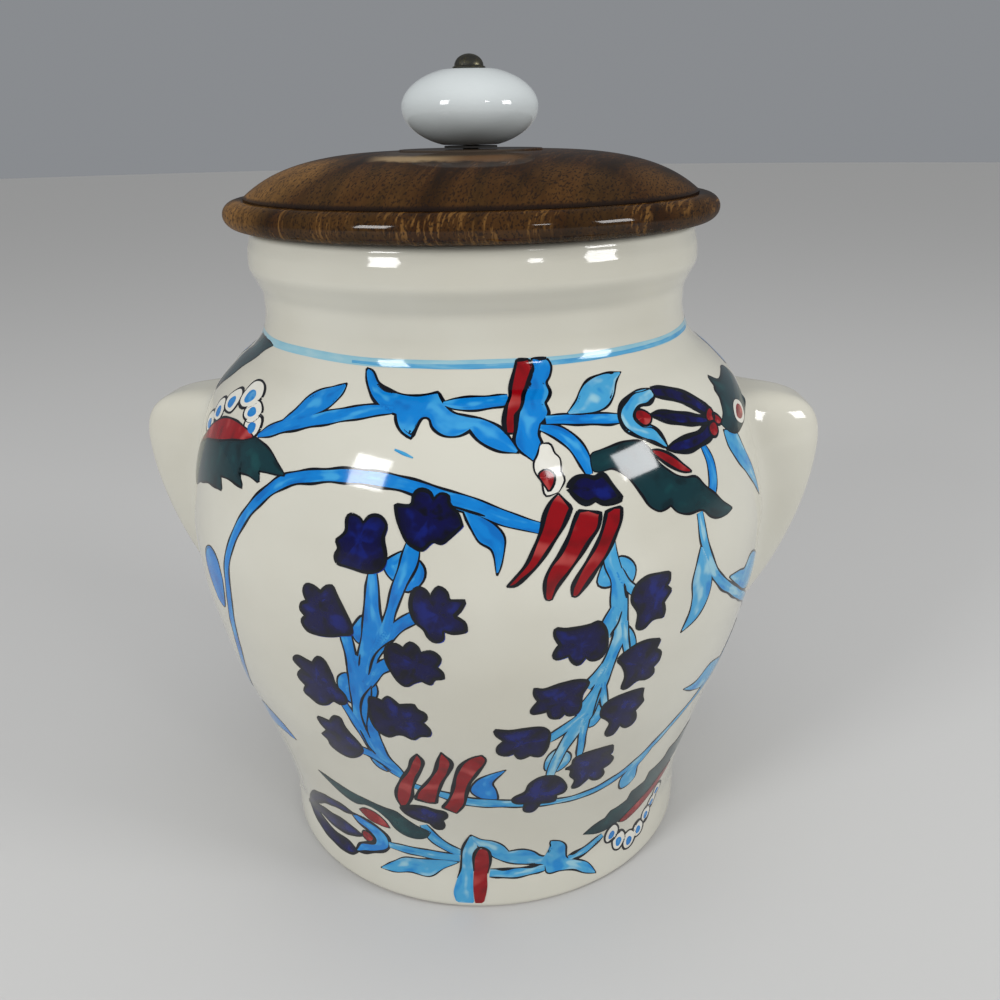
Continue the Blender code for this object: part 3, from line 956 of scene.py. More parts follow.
@dataclass
class JarBody:
    """The pot itself: outer wall with its lugs, lip, inner wall and foot, as one closed surface."""

    shape: PotShape
    columns_between: int = 80
    columns_on_lug: int = 48
    lug_half_angle: float = 15.0
    rows_low: int = 36
    rows_lug: int = 36
    rows_high: int = 54
    rows_inside: int = 36
    rows_foot: int = 9
    rows_floor: int = 10
    sharp_angle: float = 40.0

    def angles(self) -> Array:
        """Return the columns' angles: close together across each lug, wider between them.

        Returns:
            Angles in radians, once round.
        """
        half, right = math.radians(self.lug_half_angle), math.pi / 2.0
        lug = np.linspace(-half, half, self.columns_on_lug, endpoint=False) + right
        between = np.linspace(half, math.pi - half, self.columns_between, endpoint=False) + right
        return np.concatenate([lug, between, lug + math.pi, between + math.pi])

    def outer_heights(self) -> Array:
        """Return the heights of the rows on the outer wall, from the foot's corner to the lip.

        Returns:
            Heights in metres, upwards.
        """
        shape = self.shape
        low = np.linspace(shape.foot_corner, shape.lug_toe, self.rows_low, endpoint=False)
        flank = np.linspace(shape.lug_toe, shape.lug_crest, self.rows_lug, endpoint=False)
        corner = np.linspace(shape.lug_crest, shape.lug_top, self.rows_lug, endpoint=False)
        high = np.linspace(shape.lug_top, shape.height - shape.lip_corner, self.rows_high)
        return np.concatenate([low, flank, corner, high])

    def underside(self) -> Array:
        """Return radius and height under the foot, from the recess out to the foot's corner.

        Returns:
            One row for each point.
        """
        shape, bend = self.shape, self.shape.foot_corner
        ring = shape.foot_radius - bend - shape.foot_ring_width
        flat = level_rows(AXIS_GAP, ring - shape.foot_recess_slope, shape.foot_recess, self.rows_foot)
        corner = arc((shape.foot_radius - bend, bend), bend, bend, -90.0, 0.0, 8)
        return np.vstack([flat, [(ring, 0.0), (ring + shape.foot_ring_width / 2.0, 0.0)], corner[:-1]])

    def inside(self) -> Array:
        """Return radius and height over the lip, down the inner wall and in along the floor.

        Returns:
            One row for each point.
        """
        shape = self.shape
        lip, bend, cove_reach = shape.height - shape.lip_corner, shape.mouth_corner, shape.floor_corner
        lip_centre = float(shape.radius(np.array(lip))) - shape.lip_corner
        outer_lip = arc((lip_centre, lip), shape.lip_corner, shape.lip_corner, 0.0, 90.0, 8)[1:]
        mouth = (shape.mouth_radius + bend, shape.height - bend)
        inner_lip = arc(mouth, bend, bend, 90.0, 180.0, 6)
        floor_start = shape.floor_height + cove_reach
        heights = np.linspace(shape.neck_height, floor_start, self.rows_inside)[1:]
        wall = np.stack([shape.radius(heights) - shape.wall, heights], axis=-1)
        centre = (float(shape.radius(np.array(floor_start))) - shape.wall - cove_reach, floor_start)
        cove = arc(centre, cove_reach, cove_reach, 0.0, -90.0, 10)[1:]
        floor = level_rows(centre[0], AXIS_GAP, shape.floor_height, self.rows_floor)[1:]
        throat = [(shape.mouth_radius, shape.neck_height)]
        return np.vstack([outer_lip, inner_lip, throat, wall, cove, floor])

    def build(self) -> Thing:
        """Build the closed surface: rows of turned outline, with the wall's rows between them.

        Returns:
            The jar's object.
        """
        turn = self.angles()
        wall = self.shape.outside(turn[None, :], self.outer_heights()[:, None])
        rows = np.concatenate([turned_rows(self.underside(), turn), wall, turned_rows(self.inside(), turn)])
        low, high = self.shape.foot_recess, self.shape.floor_height
        return capped_surface("jar_glazed", rows, low, high, self.sharp_angle)


def turned_rows(outline: Array, turn: Array) -> Array:
    """Return a grid of places from radius and height pairs, turned to each angle from the front."""
    radius, height = outline[:, 0][:, None], outline[:, 1][:, None]
    return np.stack([radius * np.sin(turn), -radius * np.cos(turn), height + 0.0 * turn], axis=-1)


def level_rows(start: float, end: float, height: float, count: int) -> Array:
    """Return evenly spaced radii from start to end, each with the same height."""
    return np.stack([np.linspace(start, end, count), np.full(count, height)], axis=-1)


# The lid, the knob and what holds them


@dataclass
class TurnedPiece:
    """A piece turned about the Z axis from an outline that runs up its outer side.

    An outline that starts and ends on the axis is closed there by two points, and one that is
    closed goes round a bore and joins its own start.
    """

    name: str
    outline: Array
    closed: bool = False
    columns: int = 160
    smooth: float = 35.0

    def build(self) -> Thing:
        """Build the surface as a grid of outline points by angles.

        Returns:
            The piece's object.
        """
        turn = np.linspace(0.0, 2.0 * math.pi, self.columns, endpoint=False)
        if self.closed:
            count = len(self.outline)
            points = turned_rows(self.outline, turn).reshape(-1, 3)
            faces = grid_faces(count + 1, self.columns, wrap=True) % (count * self.columns)
            return mesh_object(self.name, points, faces.tolist(), self.smooth)
        rows = turned_rows(self.outline[1:-1], turn)
        return capped_surface(self.name, rows, self.outline[0, 1], self.outline[-1, 1], self.smooth)


def softened(outline: Array, radius: float, steps: int = 4) -> Array:
    """Return a closed outline with each corner rounded by a quadratic curve of this reach.

    A corner's curve starts and ends at most a third of the way along the sides that meet there.

    Args:
        outline: Corner points, radius and height.
        radius: Distance from the corner at which its curve starts.
        steps: Points on each corner's curve, after its first.

    Returns:
        The rounded outline.
    """
    back = np.roll(outline, 1, axis=0) - outline
    ahead = np.roll(outline, -1, axis=0) - outline
    back_length = np.linalg.norm(back, axis=1, keepdims=True)
    ahead_length = np.linalg.norm(ahead, axis=1, keepdims=True)
    start = outline + back / back_length * np.minimum(radius, back_length / 3.0)
    end = outline + ahead / ahead_length * np.minimum(radius, ahead_length / 3.0)
    share = np.linspace(0.0, 1.0, steps + 1)[None, :, None]
    curve = start[:, None] * (1.0 - share) ** 2 + 2.0 * outline[:, None] * share * (1.0 - share)
    return (curve + end[:, None] * share**2).reshape(-1, 2)


@dataclass
class WoodenLid:
    """The lid: a domed disc with a bead round its edge, and a plug below with a groove for its seal."""

    base: float
    radius: float = 0.075
    bead_height: float = 0.0078
    bead_depth: float = 0.0045
    step_height: float = 0.0006
    step_depth: float = 0.0035
    dome_height: float = 0.0122
    seat_radius: float = 0.022
    seat_step: float = 0.0004
    dome_top_share: float = 0.6
    dome_reach_share: float = 0.155
    dome_rise_share: float = 0.51
    plug_radius: float = 0.0565
    plug_depth: float = 0.012
    plug_chamfer: float = 0.0015
    groove_drop: float = 0.002
    groove_height: float = 0.006
    groove_depth: float = 0.002
    recess_radius: float = 0.009
    recess_depth: float = 0.0085
    bore_radius: float = 0.0027
    edge: float = 0.0002
    columns: int = 240

    def lower_outline(self) -> Array:
        """Return the plug's outline, from the bore out through the recess and up past the groove.

        Returns:
            One row for each point.
        """
        bore, plug, recess = self.bore_radius, self.base - self.plug_depth, self.recess_radius
        ceiling = plug + self.recess_depth
        groove_top = self.base - self.groove_drop
        groove_low, groove = groove_top - self.groove_height, self.plug_radius - self.groove_depth
        side, chamfer = self.plug_radius, self.plug_chamfer
        corners = [(bore, ceiling), (recess, ceiling), (recess, plug), (side - chamfer, plug)]
        corners += [(side, plug + chamfer), (side, groove_low), (groove, groove_low), (groove, groove_top)]
        return softened(np.array(corners + [(side, groove_top), (side, self.base)]), self.edge, 2)[2:]

    def outline(self) -> Array:
        """Return the outline: up the plug, round the bead, over the dome and down the bore.

        Returns:
            One row for each point.
        """
        bead_centre = (self.radius - self.bead_depth, self.base + self.bead_height / 2.0)
        bead = arc(bead_centre, self.bead_depth, self.bead_height / 2.0, -90.0, 90.0, 24)
        step_radius = self.radius - self.bead_depth - self.step_depth / 2.0
        step_top = self.base + self.bead_height + self.step_height
        seat = step_top + self.dome_height - self.seat_step
        reach = step_radius - self.seat_radius
        brow_rise = self.dome_height * self.dome_rise_share
        brow = (step_radius - reach * self.dome_reach_share, step_top + brow_rise)
        top = (self.seat_radius + reach * self.dome_top_share, seat)
        handles = np.array([(step_radius, step_top), brow, top, (self.seat_radius, seat)])
        dome = cubic(tuple(handles), np.linspace(0.0, 1.0, 40)[:, None])
        step = [(step_radius, step_top - self.step_height)]
        end = seat + self.seat_step
        rise = [(self.seat_radius - self.seat_step, end), (self.bore_radius, end)]
        return np.vstack([self.lower_outline(), bead, step, dome, rise])

    def build(self) -> Thing:
        """Build the turned lid round its bore."""
        return TurnedPiece("lid_turned", self.outline(), closed=True, columns=self.columns).build()


@dataclass
class SealRing:
    """The soft ring in the plug's groove, with two lips."""

    base: float
    top: float
    inner: float = 0.0548
    band: float = 0.0565
    lip: float = 0.0592
    lip_share: float = 0.28
    band_share: float = 0.49
    edge: float = 0.0004
    columns: int = 240
    smooth: float = 60.0

    def build(self) -> Thing:
        """Build the ring from its rounded section.

        Returns:
            The ring's object.
        """
        height = self.top - self.base
        drop, rest = height * self.lip_share, height * self.band_share
        lower = [(self.inner, self.base), (self.band, self.base), (self.lip, self.base + drop)]
        middle = [(self.band, self.base + rest), (self.band, self.top - rest)]
        upper = [(self.lip, self.top - drop), (self.band, self.top), (self.inner, self.top)]
        section = softened(np.array(lower + middle + upper), self.edge)
        return TurnedPiece("seal_ring", section, True, self.columns, self.smooth).build()


@dataclass
class KnobSet:
    """The porcelain knob on its cushion, and the bolt and washer that hold it."""

    knob_base: float
    knob_top: float
    bore_radius: float = 0.0027
    knob_radius: float = 0.0205
    knob_half_height: float = 0.0114
    flat_radius: float = 0.0085
    bore_corner: float = 0.0006
    cushion_radius: float = 0.008
    washer_radius: float = 0.0065
    ring_edge: float = 0.00012
    bolt_radius: float = 0.0024
    head_radius: float = 0.0049
    head_gap: float = 0.0003
    head_brim: float = 0.0007
    head_set_in: float = 0.0006
    brim_edge: float = 0.00025
    tip_chamfer: float = 0.0005
    columns: int = 96

    def build_knob(self) -> Thing:
        """Build the knob: a flattened ball cut level at both ends round its bore.

        Returns:
            The knob's object.
        """
        flat = math.degrees(math.acos(self.flat_radius / self.knob_radius))
        middle = (self.knob_base + self.knob_top) / 2.0
        ball = arc((0.0, middle), self.knob_radius, self.knob_half_height, -flat, flat, 72)
        bore, wide = self.bore_radius, self.bore_radius + self.bore_corner
        low = [(bore, self.knob_base + self.bore_corner), (wide, self.knob_base)]
        high = [(wide, self.knob_top), (bore, self.knob_top - self.bore_corner)]
        return TurnedPiece("knob_glazed", np.vstack([low, ball, high]), closed=True).build()

    def build_ring(self, name: str, radius: float, low: float, high: float) -> Thing:
        """Build a flat ring round the bolt, its edges slightly rounded.

        Args:
            name: The ring's name.
            radius: Its outer radius.
            low: Height of its lower face.
            high: Height of its upper face.

        Returns:
            The ring's object.
        """
        bore = self.bore_radius
        corners = np.array([(bore, low), (radius, low), (radius, high), (bore, high)])
        section = softened(corners, self.ring_edge, 3)
        return TurnedPiece(name, section, closed=True, columns=self.columns).build()

    def build_bolt(self, tip: float, top: float) -> Thing:
        """Build the bolt: a domed head whose thin brim rests on the knob, and a straight shank.

        Args:
            tip: Height of the shank's tip.
            top: Height of the head's top.

        Returns:
            The bolt's object.
        """
        seat, edge = self.knob_top + self.head_gap, self.brim_edge
        brim = arc((self.head_radius - edge, seat + edge), edge, edge, -90, 90, 7)
        dome_base = seat + self.head_brim
        dome = arc((0.0, dome_base), self.head_radius - self.head_set_in, top - dome_base, 0.0, 90.0, 18)
        shank, chamfer = self.bolt_radius, self.tip_chamfer
        lower = [(0.0, tip), (shank - chamfer, tip), (shank, tip + chamfer), (shank, seat)]
        outline = np.vstack([lower, brim, dome])
        outline[-1, 0] = 0.0
        return TurnedPiece("bolt_domed", outline, columns=self.columns).build()


# Floor, light and camera


def direction(azimuth: float, elevation: float) -> Vector:
    """Return the unit vector at an angle round from the front towards +X, and at an angle up."""
    turn, rise = math.radians(azimuth), math.radians(elevation)
    return Vector((math.sin(turn) * math.cos(rise), -math.cos(turn) * math.cos(rise), math.sin(rise)))


@dataclass(frozen=True)
class Softbox:
    """A rectangular lamp, placed by its direction from the object and its brightness."""

    name: str
    azimuth: float
    elevation: float
    width: float
    height: float
    radiance: float
    distance: float = 1.2
    colour: Colour = (1.0, 1.0, 1.0)
    shines: bool = True

    def build(self, aim: Vector) -> None:
        """Hang the lamp so that it faces the aim; its power is radiance times pi times its area.

        Args:
            aim: Place that the lamp faces.
        """
        away = direction(self.azimuth, self.elevation)
        light = bpy.data.lights.new(self.name, "AREA")
        light.shape = "RECTANGLE"
        light.size, light.size_y = self.width, self.height
        light.energy = self.radiance * math.pi * self.width * self.height
        light.color = self.colour
        lamp = bpy.data.objects.new(self.name, light)
        lamp.location = aim + away * self.distance
        lamp.rotation_euler = away.to_track_quat("Z", "Y").to_euler()
        lamp.visible_camera = False
        lamp.visible_glossy = self.shines
        bpy.context.collection.objects.link(lamp)


@dataclass(frozen=True)
class Studio:
    """A plain pale floor and background, soft lamps, and the camera."""

    background: Colour = (0.25, 0.26, 0.275)
    floor: Colour = (0.52, 0.52, 0.515)
    floor_roughness: float = 0.7
    fill: Colour = (0.60, 0.60, 0.60)
    floor_radius: float = 6.0
    camera_place: Triple = (0.02868, -0.30961, 0.23405)
    camera_azimuth: float = 4.0
    camera_pitch: float = 21.258
    camera_roll: float = -0.966
    camera_near: float = 0.01
    lens: float = 34.67
    sensor: float = 36.0
    lamps: tuple[Softbox, ...] = (
        Softbox("left_window", -38.5, 24.5, 0.29, 0.36, 19.0),
        Softbox("right_window", 69.0, 19.5, 0.34, 0.30, 17.0),
        Softbox("small_window", 35.0, 26.0, 0.13, 0.11, 17.0),
        Softbox("overhead", 10.0, 78.0, 1.1, 1.1, 1.1, 1.5, shines=False),
    )

    def build(self) -> None:
        """Make the floor, the world, the lamps and the camera."""
        self.build_floor()
        self.build_world()
        low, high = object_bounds()
        for lamp in self.lamps:
            lamp.build((low + high) / 2.0)
        self.build_camera()

    def build_floor(self) -> None:
        """Lay a round floor whose colour is plain, just under the foot."""
        turn = np.linspace(0.0, 2.0 * math.pi, 96, endpoint=False)
        rim = np.stack([np.cos(turn), np.sin(turn), 0.0 * turn], axis=-1) * self.floor_radius
        floor = mesh_object("floor", rim, [list(range(len(turn)))], 30.0)
        material = bpy.data.materials.new("floor_paper")
        material.use_nodes = True
        shader = material.node_tree.nodes["Principled BSDF"]
        shader.inputs["Base Color"].default_value = (*self.floor, 1.0)
        shader.inputs["Roughness"].default_value = self.floor_roughness
        floor.data.materials.append(material)
        floor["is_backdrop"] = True

    def build_world(self) -> None:
        """Light the scene evenly with the fill, and show the background's own colour to the camera."""
        world = bpy.data.worlds.new("studio")
        world.use_nodes = True
        recipe = Recipe(world.node_tree)
        paths = recipe.add("ShaderNodeLightPath").outputs
        seen = recipe.maths("MAXIMUM", paths["Is Camera Ray"], paths["Is Glossy Ray"])
        seen = recipe.maths("MAXIMUM", seen, paths["Is Transmission Ray"])
        recipe.feed(world.node_tree.nodes["Background"], Color=recipe.mix(seen, self.fill, self.background))
        bpy.context.scene.world = world

    def build_camera(self) -> None:
        """Place the camera at the photograph's angle, with its slight roll."""
        lens = bpy.data.cameras.new("camera")
        lens.lens, lens.sensor_width, lens.clip_start = self.lens, self.sensor, self.camera_near
        camera = bpy.data.objects.new("camera", lens)
        back = direction(self.camera_azimuth, self.camera_pitch)
        roll = Quaternion((0.0, 0.0, 1.0), math.radians(self.camera_roll))
        camera.rotation_euler = (back.to_track_quat("Z", "Y") @ roll).to_euler()
        camera.location = self.camera_place
        bpy.context.collection.objects.link(camera)
        bpy.context.scene.camera = camera


# Paint on the wall


def marked(points: Pairs) -> Array:
    """Return u and s of given points; one with a third value is a corner, and comes twice."""
    spots = np.array([(point[0], point[1]) for point in points])
    return np.repeat(spots, [2 if len(point) > 2 else 1 for point in points], axis=0)


def chord_length(points: Array) -> float:
    """Return the length of the straight runs between points."""
    return float(np.linalg.norm(np.diff(points[:, :2], axis=0), axis=1).sum())


def shifted(points: Pairs, offset: float) -> Pairs:
    """Return points with an offset added to each u."""
    return tuple((point[0] + offset, *point[1:]) for point in points)


@dataclass
class Films:
    """Thin films of paint on the wall: closed sheets, gathered for each colour.

    A film's upper side stands off the wall by the height of its colour's layer, its lower side lies
    a little inside the wall, and a skirt joins them all round.
    """

    wall: Wall
    first_layer: float = 0.00004
    layer: float = 0.000012
    depth: float = 0.00006
    map_unit: float = 10.0
    points: dict[Paint, list[Array]] = field(default_factory=lambda: defaultdict(list))
    normals: dict[Paint, list[Array]] = field(default_factory=lambda: defaultdict(list))
    faces: dict[Paint, list[list[int]]] = field(default_factory=lambda: defaultdict(list))
    marks: dict[Paint, list[Array]] = field(default_factory=lambda: defaultdict(list))
    used: dict[Paint, int] = field(default_factory=lambda: defaultdict(int))

    def add(self, paint: Paint, grid: Array, coat: float, hub: Hub = None) -> None:
        """Add one film from a grid of u and s.

        Args:
            paint: Its colour.
            grid: Rows along the stroke by columns across it, each u and s.
            coat: How many layers it lies above the first.
            hub: Where it is given, the rows go round it, the last joins the first, and the last
                column is closed by triangles that meet there.
        """
        rows, columns = grid.shape[:2]
        wrap = hub is not None
        if self.turns_left(grid):
            grid = grid[::-1]
        flat = np.vstack([grid.reshape(-1, 2), hub[None]]) if wrap else grid.reshape(-1, 2)
        count = len(flat)
        upper = self.wall.place(flat, self.first_layer + self.layer * coat)
        lower = self.wall.place(flat, -self.depth)
        length = np.cumsum(np.linalg.norm(np.diff(grid[:, 0], axis=0, prepend=grid[:1, 0]), axis=1))
        across = np.linspace(0.0, 0.5 if wrap else 1.0, columns)
        mark = np.stack(np.broadcast_arrays(length[:, None] / self.map_unit, across), axis=-1)
        mark = np.vstack([mark.reshape(-1, 2), [(0.0, 0.5)]])[:count]
        top = grid_faces(columns, rows, wrap)
        top = (top % rows) * columns + top // rows
        edge = self.border(rows, columns, wrap)
        skirt = np.stack([edge[:, 1], edge[:, 0], edge[:, 0] + count, edge[:, 1] + count], axis=-1)
        start = self.used[paint]
        faces = (np.vstack([top[:, ::-1], top + count, skirt]) + start).tolist()
        if wrap:
            ring = np.arange(rows) * columns + columns - 1
            cap = np.stack([np.roll(ring, -1), ring, np.full(rows, rows * columns)], axis=-1)
            faces += (np.vstack([cap, cap[:, ::-1] + count]) + start).tolist()
        outward = upper - lower
        outward /= np.linalg.norm(outward, axis=1, keepdims=True)
        self.used[paint] += 2 * count
        self.points[paint] += [upper, lower]
        self.normals[paint] += [outward, -outward]
        self.faces[paint] += faces
        self.marks[paint] += [mark, mark]

    @staticmethod
    def turns_left(grid: Array) -> bool:
        """Tell whether the columns run to the left of the rows' direction, on the whole."""
        ahead, aside = np.diff(grid[:, :-1], axis=0), np.diff(grid[:-1], axis=1)
        return bool((ahead[..., 0] * aside[..., 1] - ahead[..., 1] * aside[..., 0]).sum() > 0.0)

    @staticmethod
    def border(rows: int, columns: int, wrap: bool) -> Array:
        """Return the pairs of point numbers round a grid's edge, in the order of its faces.

        A grid that wraps round a hub has only its first column for an edge.

        Args:
            rows: Points across the grid's first direction.
            columns: Points along its second one.
            wrap: Whether its last column joins the first.

        Returns:
            Two point numbers for each edge.
        """
        row, column = np.arange(rows), np.arange(columns)
        ahead = (row + 1) % rows if wrap else row[1:]
        behind = row if wrap else row[:-1]
        first = np.stack([ahead * columns, behind * columns], axis=-1)
        if wrap:
            return first
        last = np.stack([behind, ahead], axis=-1) * columns + columns - 1
        start = np.stack([column[:-1], column[1:]], axis=-1)
        end = start[:, ::-1] + (rows - 1) * columns
        return np.vstack([first, last, start, end])

    def build(self, paint: Paint, name: str) -> Thing:
        """Build the piece of one colour, with its UV map and the wall's own normals.

        Args:
            paint: The colour.
            name: Name of the piece.

        Returns:
            The piece's object.
        """
        thing = mesh_object(name, np.vstack(self.points[paint]), self.faces[paint], 180.0)
        mesh = thing.data
        corner = np.zeros(len(mesh.loops), dtype=np.int32)
        mesh.loops.foreach_get("vertex_index", corner)
        layer = mesh.uv_layers.new(name=BRUSH_MAP)
        layer.data.foreach_set("uv", np.vstack(self.marks[paint])[corner].ravel())
        mesh.normals_split_custom_set_from_vertices(np.vstack(self.normals[paint]).tolist())
        return thing


@dataclass(frozen=True)
class Brush:
    """How a hand lays paint: how finely a stroke is drawn, and how its width wavers."""

    step: float = 0.9
    line_step: float = 0.8
    line_width: float = 0.62
    waver: float = 0.2
    slip: Spot = (0.45, -0.45)
    under_edge: float = 2.0
    over_edge: float = 1.15

    def ribbon(self, centre: Array, width: Array, cells: int, wall: Wall) -> Array:
        """Return the grid of a stroke: its centre line set off to both sides by half its width.

        Args:
            centre: Points along the stroke, u and s.
            width: Full width at each point.
            cells: Cells across the stroke.
            wall: The wall, whose radius tells the true length of a millimetre of u.

        Returns:
            The grid: places along the stroke by places across it.
        """
        height = np.interp(centre[:, 1], wall.lengths, wall.heights)
        scale = wall.shape.radius(height) / wall.shape.belly_radius
        ahead = np.gradient(centre, axis=0) * np.stack([scale, np.ones_like(scale)], axis=-1)
        ahead /= np.maximum(np.linalg.norm(ahead, axis=1, keepdims=True), TINY)
        aside = np.stack([-ahead[:, 1] / scale, ahead[:, 0]], axis=-1)
        across = np.linspace(-0.5, 0.5, cells + 1)
        return centre[:, None] + across[None, :, None] * (width[:, None] * aside)[:, None]

    def line(self, films: Films, centre: Array, width: float, coat: float, closed: bool = False) -> None:
        """Draw a dark line along a fine curve, thinner at its open ends and wavering as it goes.

        Args:
            films: The films to add to.
            centre: Points along the line, u and s.
            width: Its full width, as a share of the brush's.
            coat: How many layers it lies above the first.
            closed: Whether it comes back to its start.
        """
        reach = np.arange(len(centre)) * chord_length(centre) / len(centre)
        phase = centre[0].sum()
        wobble = np.sin(reach * 0.61 + phase) + 0.7 * np.sin(reach * 0.23 + 2.0 * phase)
        full = self.line_width * width * (1.0 + self.waver * wobble)
        if closed:
            full[-1] = full[0]
        else:
            share = np.linspace(0.0, 1.0, len(centre))
            full = full * (0.4 + 0.6 * np.clip(8.0 * share * (1.0 - share), 0.0, 1.0))
        films.add(Paint.LINE, self.ribbon(centre, full, 1, films.wall), coat)

    def lay(self, films: Films, shape: Shape, grid: Array, edges: list[Array], hub: Hub = None) -> None:
        """Lay one shape: what bled past its outline, its colour, and the outline over or under it.

        An outline under the colour runs round all that is joined in that colour.

        Args:
            films: Where the films go.
            shape: The shape, for its paint, its coat and how strongly it is edged.
            grid: The colour's grid.
            edges: The outline's curves.
            hub: The grid's middle point, where it goes round one.
        """
        coat = shape.paint.value if shape.coat is None else shape.coat
        if shape.bleed is not None:
            films.add(shape.bleed, grid + self.slip, coat - 0.75, None if hub is None else hub + self.slip)
        films.add(shape.paint, grid, coat, hub)
        width, level = (self.over_edge, coat + 0.5) if shape.over else (self.under_edge, coat - 0.5)
        for edge in edges if shape.edged > 0.0 else ():
            self.line(films, edge, width * shape.edged, level, hub is not None)


@dataclass(frozen=True)
class Stroke:
    """A stroke along a centre line of u, s and width."""

    paint: Paint
    path: Pairs
    edged: float = 1.0
    coat: float | None = None
    bleed: Paint | None = None
    over: bool = False

    def draw(self, films: Films, brush: Brush) -> None:
        """Lay the stroke as a ribbon whose width wavers a little.

        Args:
            films: The films to add to.
            brush: The brush that draws.
        """
        path = np.array(self.path, dtype=float)
        count = max(6, round(chord_length(path) / brush.step))
        curve = smooth_curve(path, count)
        phase = curve[0, :2].sum()
        reach = np.arange(count) * brush.step
        wobble = 1.0 + 0.05 * np.sin(reach * 0.55 + phase) + 0.04 * np.sin(reach * 0.23 - phase)
        grid = brush.ribbon(curve[:, :2], np.maximum(curve[:, 2] * wobble, 0.15), 4, films.wall)
        brush.lay(films, self, grid, [grid[:, 0], grid[:, -1]])

    def moved(self, offset: float) -> Stroke:
        """Return the stroke moved round the belly by an offset in millimetres."""
        return replace(self, path=shifted(self.path, offset))


@dataclass(frozen=True)
class Leaf:
    """A filled shape between two edges that share both their ends."""

    paint: Paint
    tip: Spot
    one: Pairs
    other: Pairs
    end: Spot
    edged: float = 1.0
    coat: float | None = None
    bleed: Paint | None = None
    over: bool = False

    def draw(self, films: Films, brush: Brush) -> None:
        """Lay the film as rows between the two edges at equal shares of their lengths.

        Args:
            films: The films to add to.
            brush: The brush that draws.
        """
        sides = [marked((self.tip, *side, self.end)) for side in (self.one, self.other)]
        count = max(10, round(max(chord_length(side) for side in sides) / brush.step) + 1)
        edges = [smooth_curve(side, count) for side in sides]
        across = np.linspace(0.0, 1.0, 7)[None, :, None]
        grid = edges[0][1:-1, None] * (1.0 - across) + edges[1][1:-1, None] * across
        brush.lay(films, self, grid, edges)

    def moved(self, offset: float) -> Leaf:
        """Return the leaf moved round the belly by an offset in millimetres.

        Args:
            offset: How far, along u.

        Returns:
            The moved leaf.
        """
        tip, end = shifted((self.tip, self.end), offset)
        one, other = shifted(self.one, offset), shifted(self.other, offset)
        return replace(self, tip=tip, one=one, other=other, end=end)


@dataclass(frozen=True)
class Blot:
    """A filled shape whose whole rim is seen from its centre."""

    paint: Paint
    centre: Spot
    rim: Pairs
    edged: float = 1.0
    coat: float | None = None
    bleed: Paint | None = None
    over: bool = False
    ring_shares: tuple[float, ...] = (1.0, 0.8, 0.55, 0.3, 0.12)

    def draw(self, films: Films, brush: Brush) -> None:
        """Lay the film as rings that shrink towards the centre.

        Args:
            films: The films to add to.
            brush: The brush that draws.
        """
        rim = marked(self.rim)
        count = max(16, round(chord_length(rim) / brush.line_step))
        curve = smooth_curve(rim, count, closed=True)
        centre = np.array(self.centre)
        grid = centre + (curve[:, None] - centre) * np.array(self.ring_shares)[None, :, None]
        brush.lay(films, self, grid, [np.vstack([curve, curve[:1]])], centre)

    def moved(self, offset: float) -> Blot:
        """Return the blot moved round the belly by an offset in millimetres."""
        return replace(self, centre=shifted((self.centre,), offset)[0], rim=shifted(self.rim, offset))


@dataclass(frozen=True)
class Line:
    """A thin dark line by itself."""

    path: Pairs
    edged: float = 1.0

    def draw(self, films: Films, brush: Brush) -> None:
        """Draw the line over every colour.

        Args:
            films: The films to add to.
            brush: The brush that draws.
        """
        path = marked(self.path)
        count = max(5, round(chord_length(path) / brush.line_step))
        brush.line(films, smooth_curve(path, count), self.edged, Paint.LINE.value)

    def moved(self, offset: float) -> Line:
        """Return the line moved round the belly by an offset in millimetres."""
        return replace(self, path=shifted(self.path, offset))


Shape = Stroke | Leaf | Blot | Line
Shapes = tuple[Shape, ...]


def middle_of(rim: Pairs) -> tuple[float, float]:
    """Return the mean of a rim's points, which the small shapes here are seen from."""
    spots = np.array([point[:2] for point in rim])
    return tuple(spots.mean(axis=0))


def bell(*rim: tuple[float, ...]) -> Blot:
    """Return a hyacinth's flower: a thick dark edge round cobalt that slipped a little past it."""
    return Blot(Paint.COBALT, middle_of(rim), rim, 1.25, None, Paint.BLEED, True)


def bud(*rim: tuple[float, ...]) -> Blot:
    """Return a bud that the stem beside it partly hides."""
    return Blot(Paint.SKY, middle_of(rim), rim, 0.9, 1)


def pale_bud(*rim: tuple[float, ...]) -> Blot:
    """Return a bud laid with more water."""
    return Blot(Paint.MIST, middle_of(rim), rim, 0.8, 1)


def pale_stem(*path: Triple) -> Stroke:
    """Return a stem laid with more water."""
    return Stroke(Paint.MIST, path, 0.8)


def stem(*path: Triple) -> Stroke:
    """Return a stem that runs into the others without a line between them."""
    return Stroke(Paint.SKY, path, 0.9)


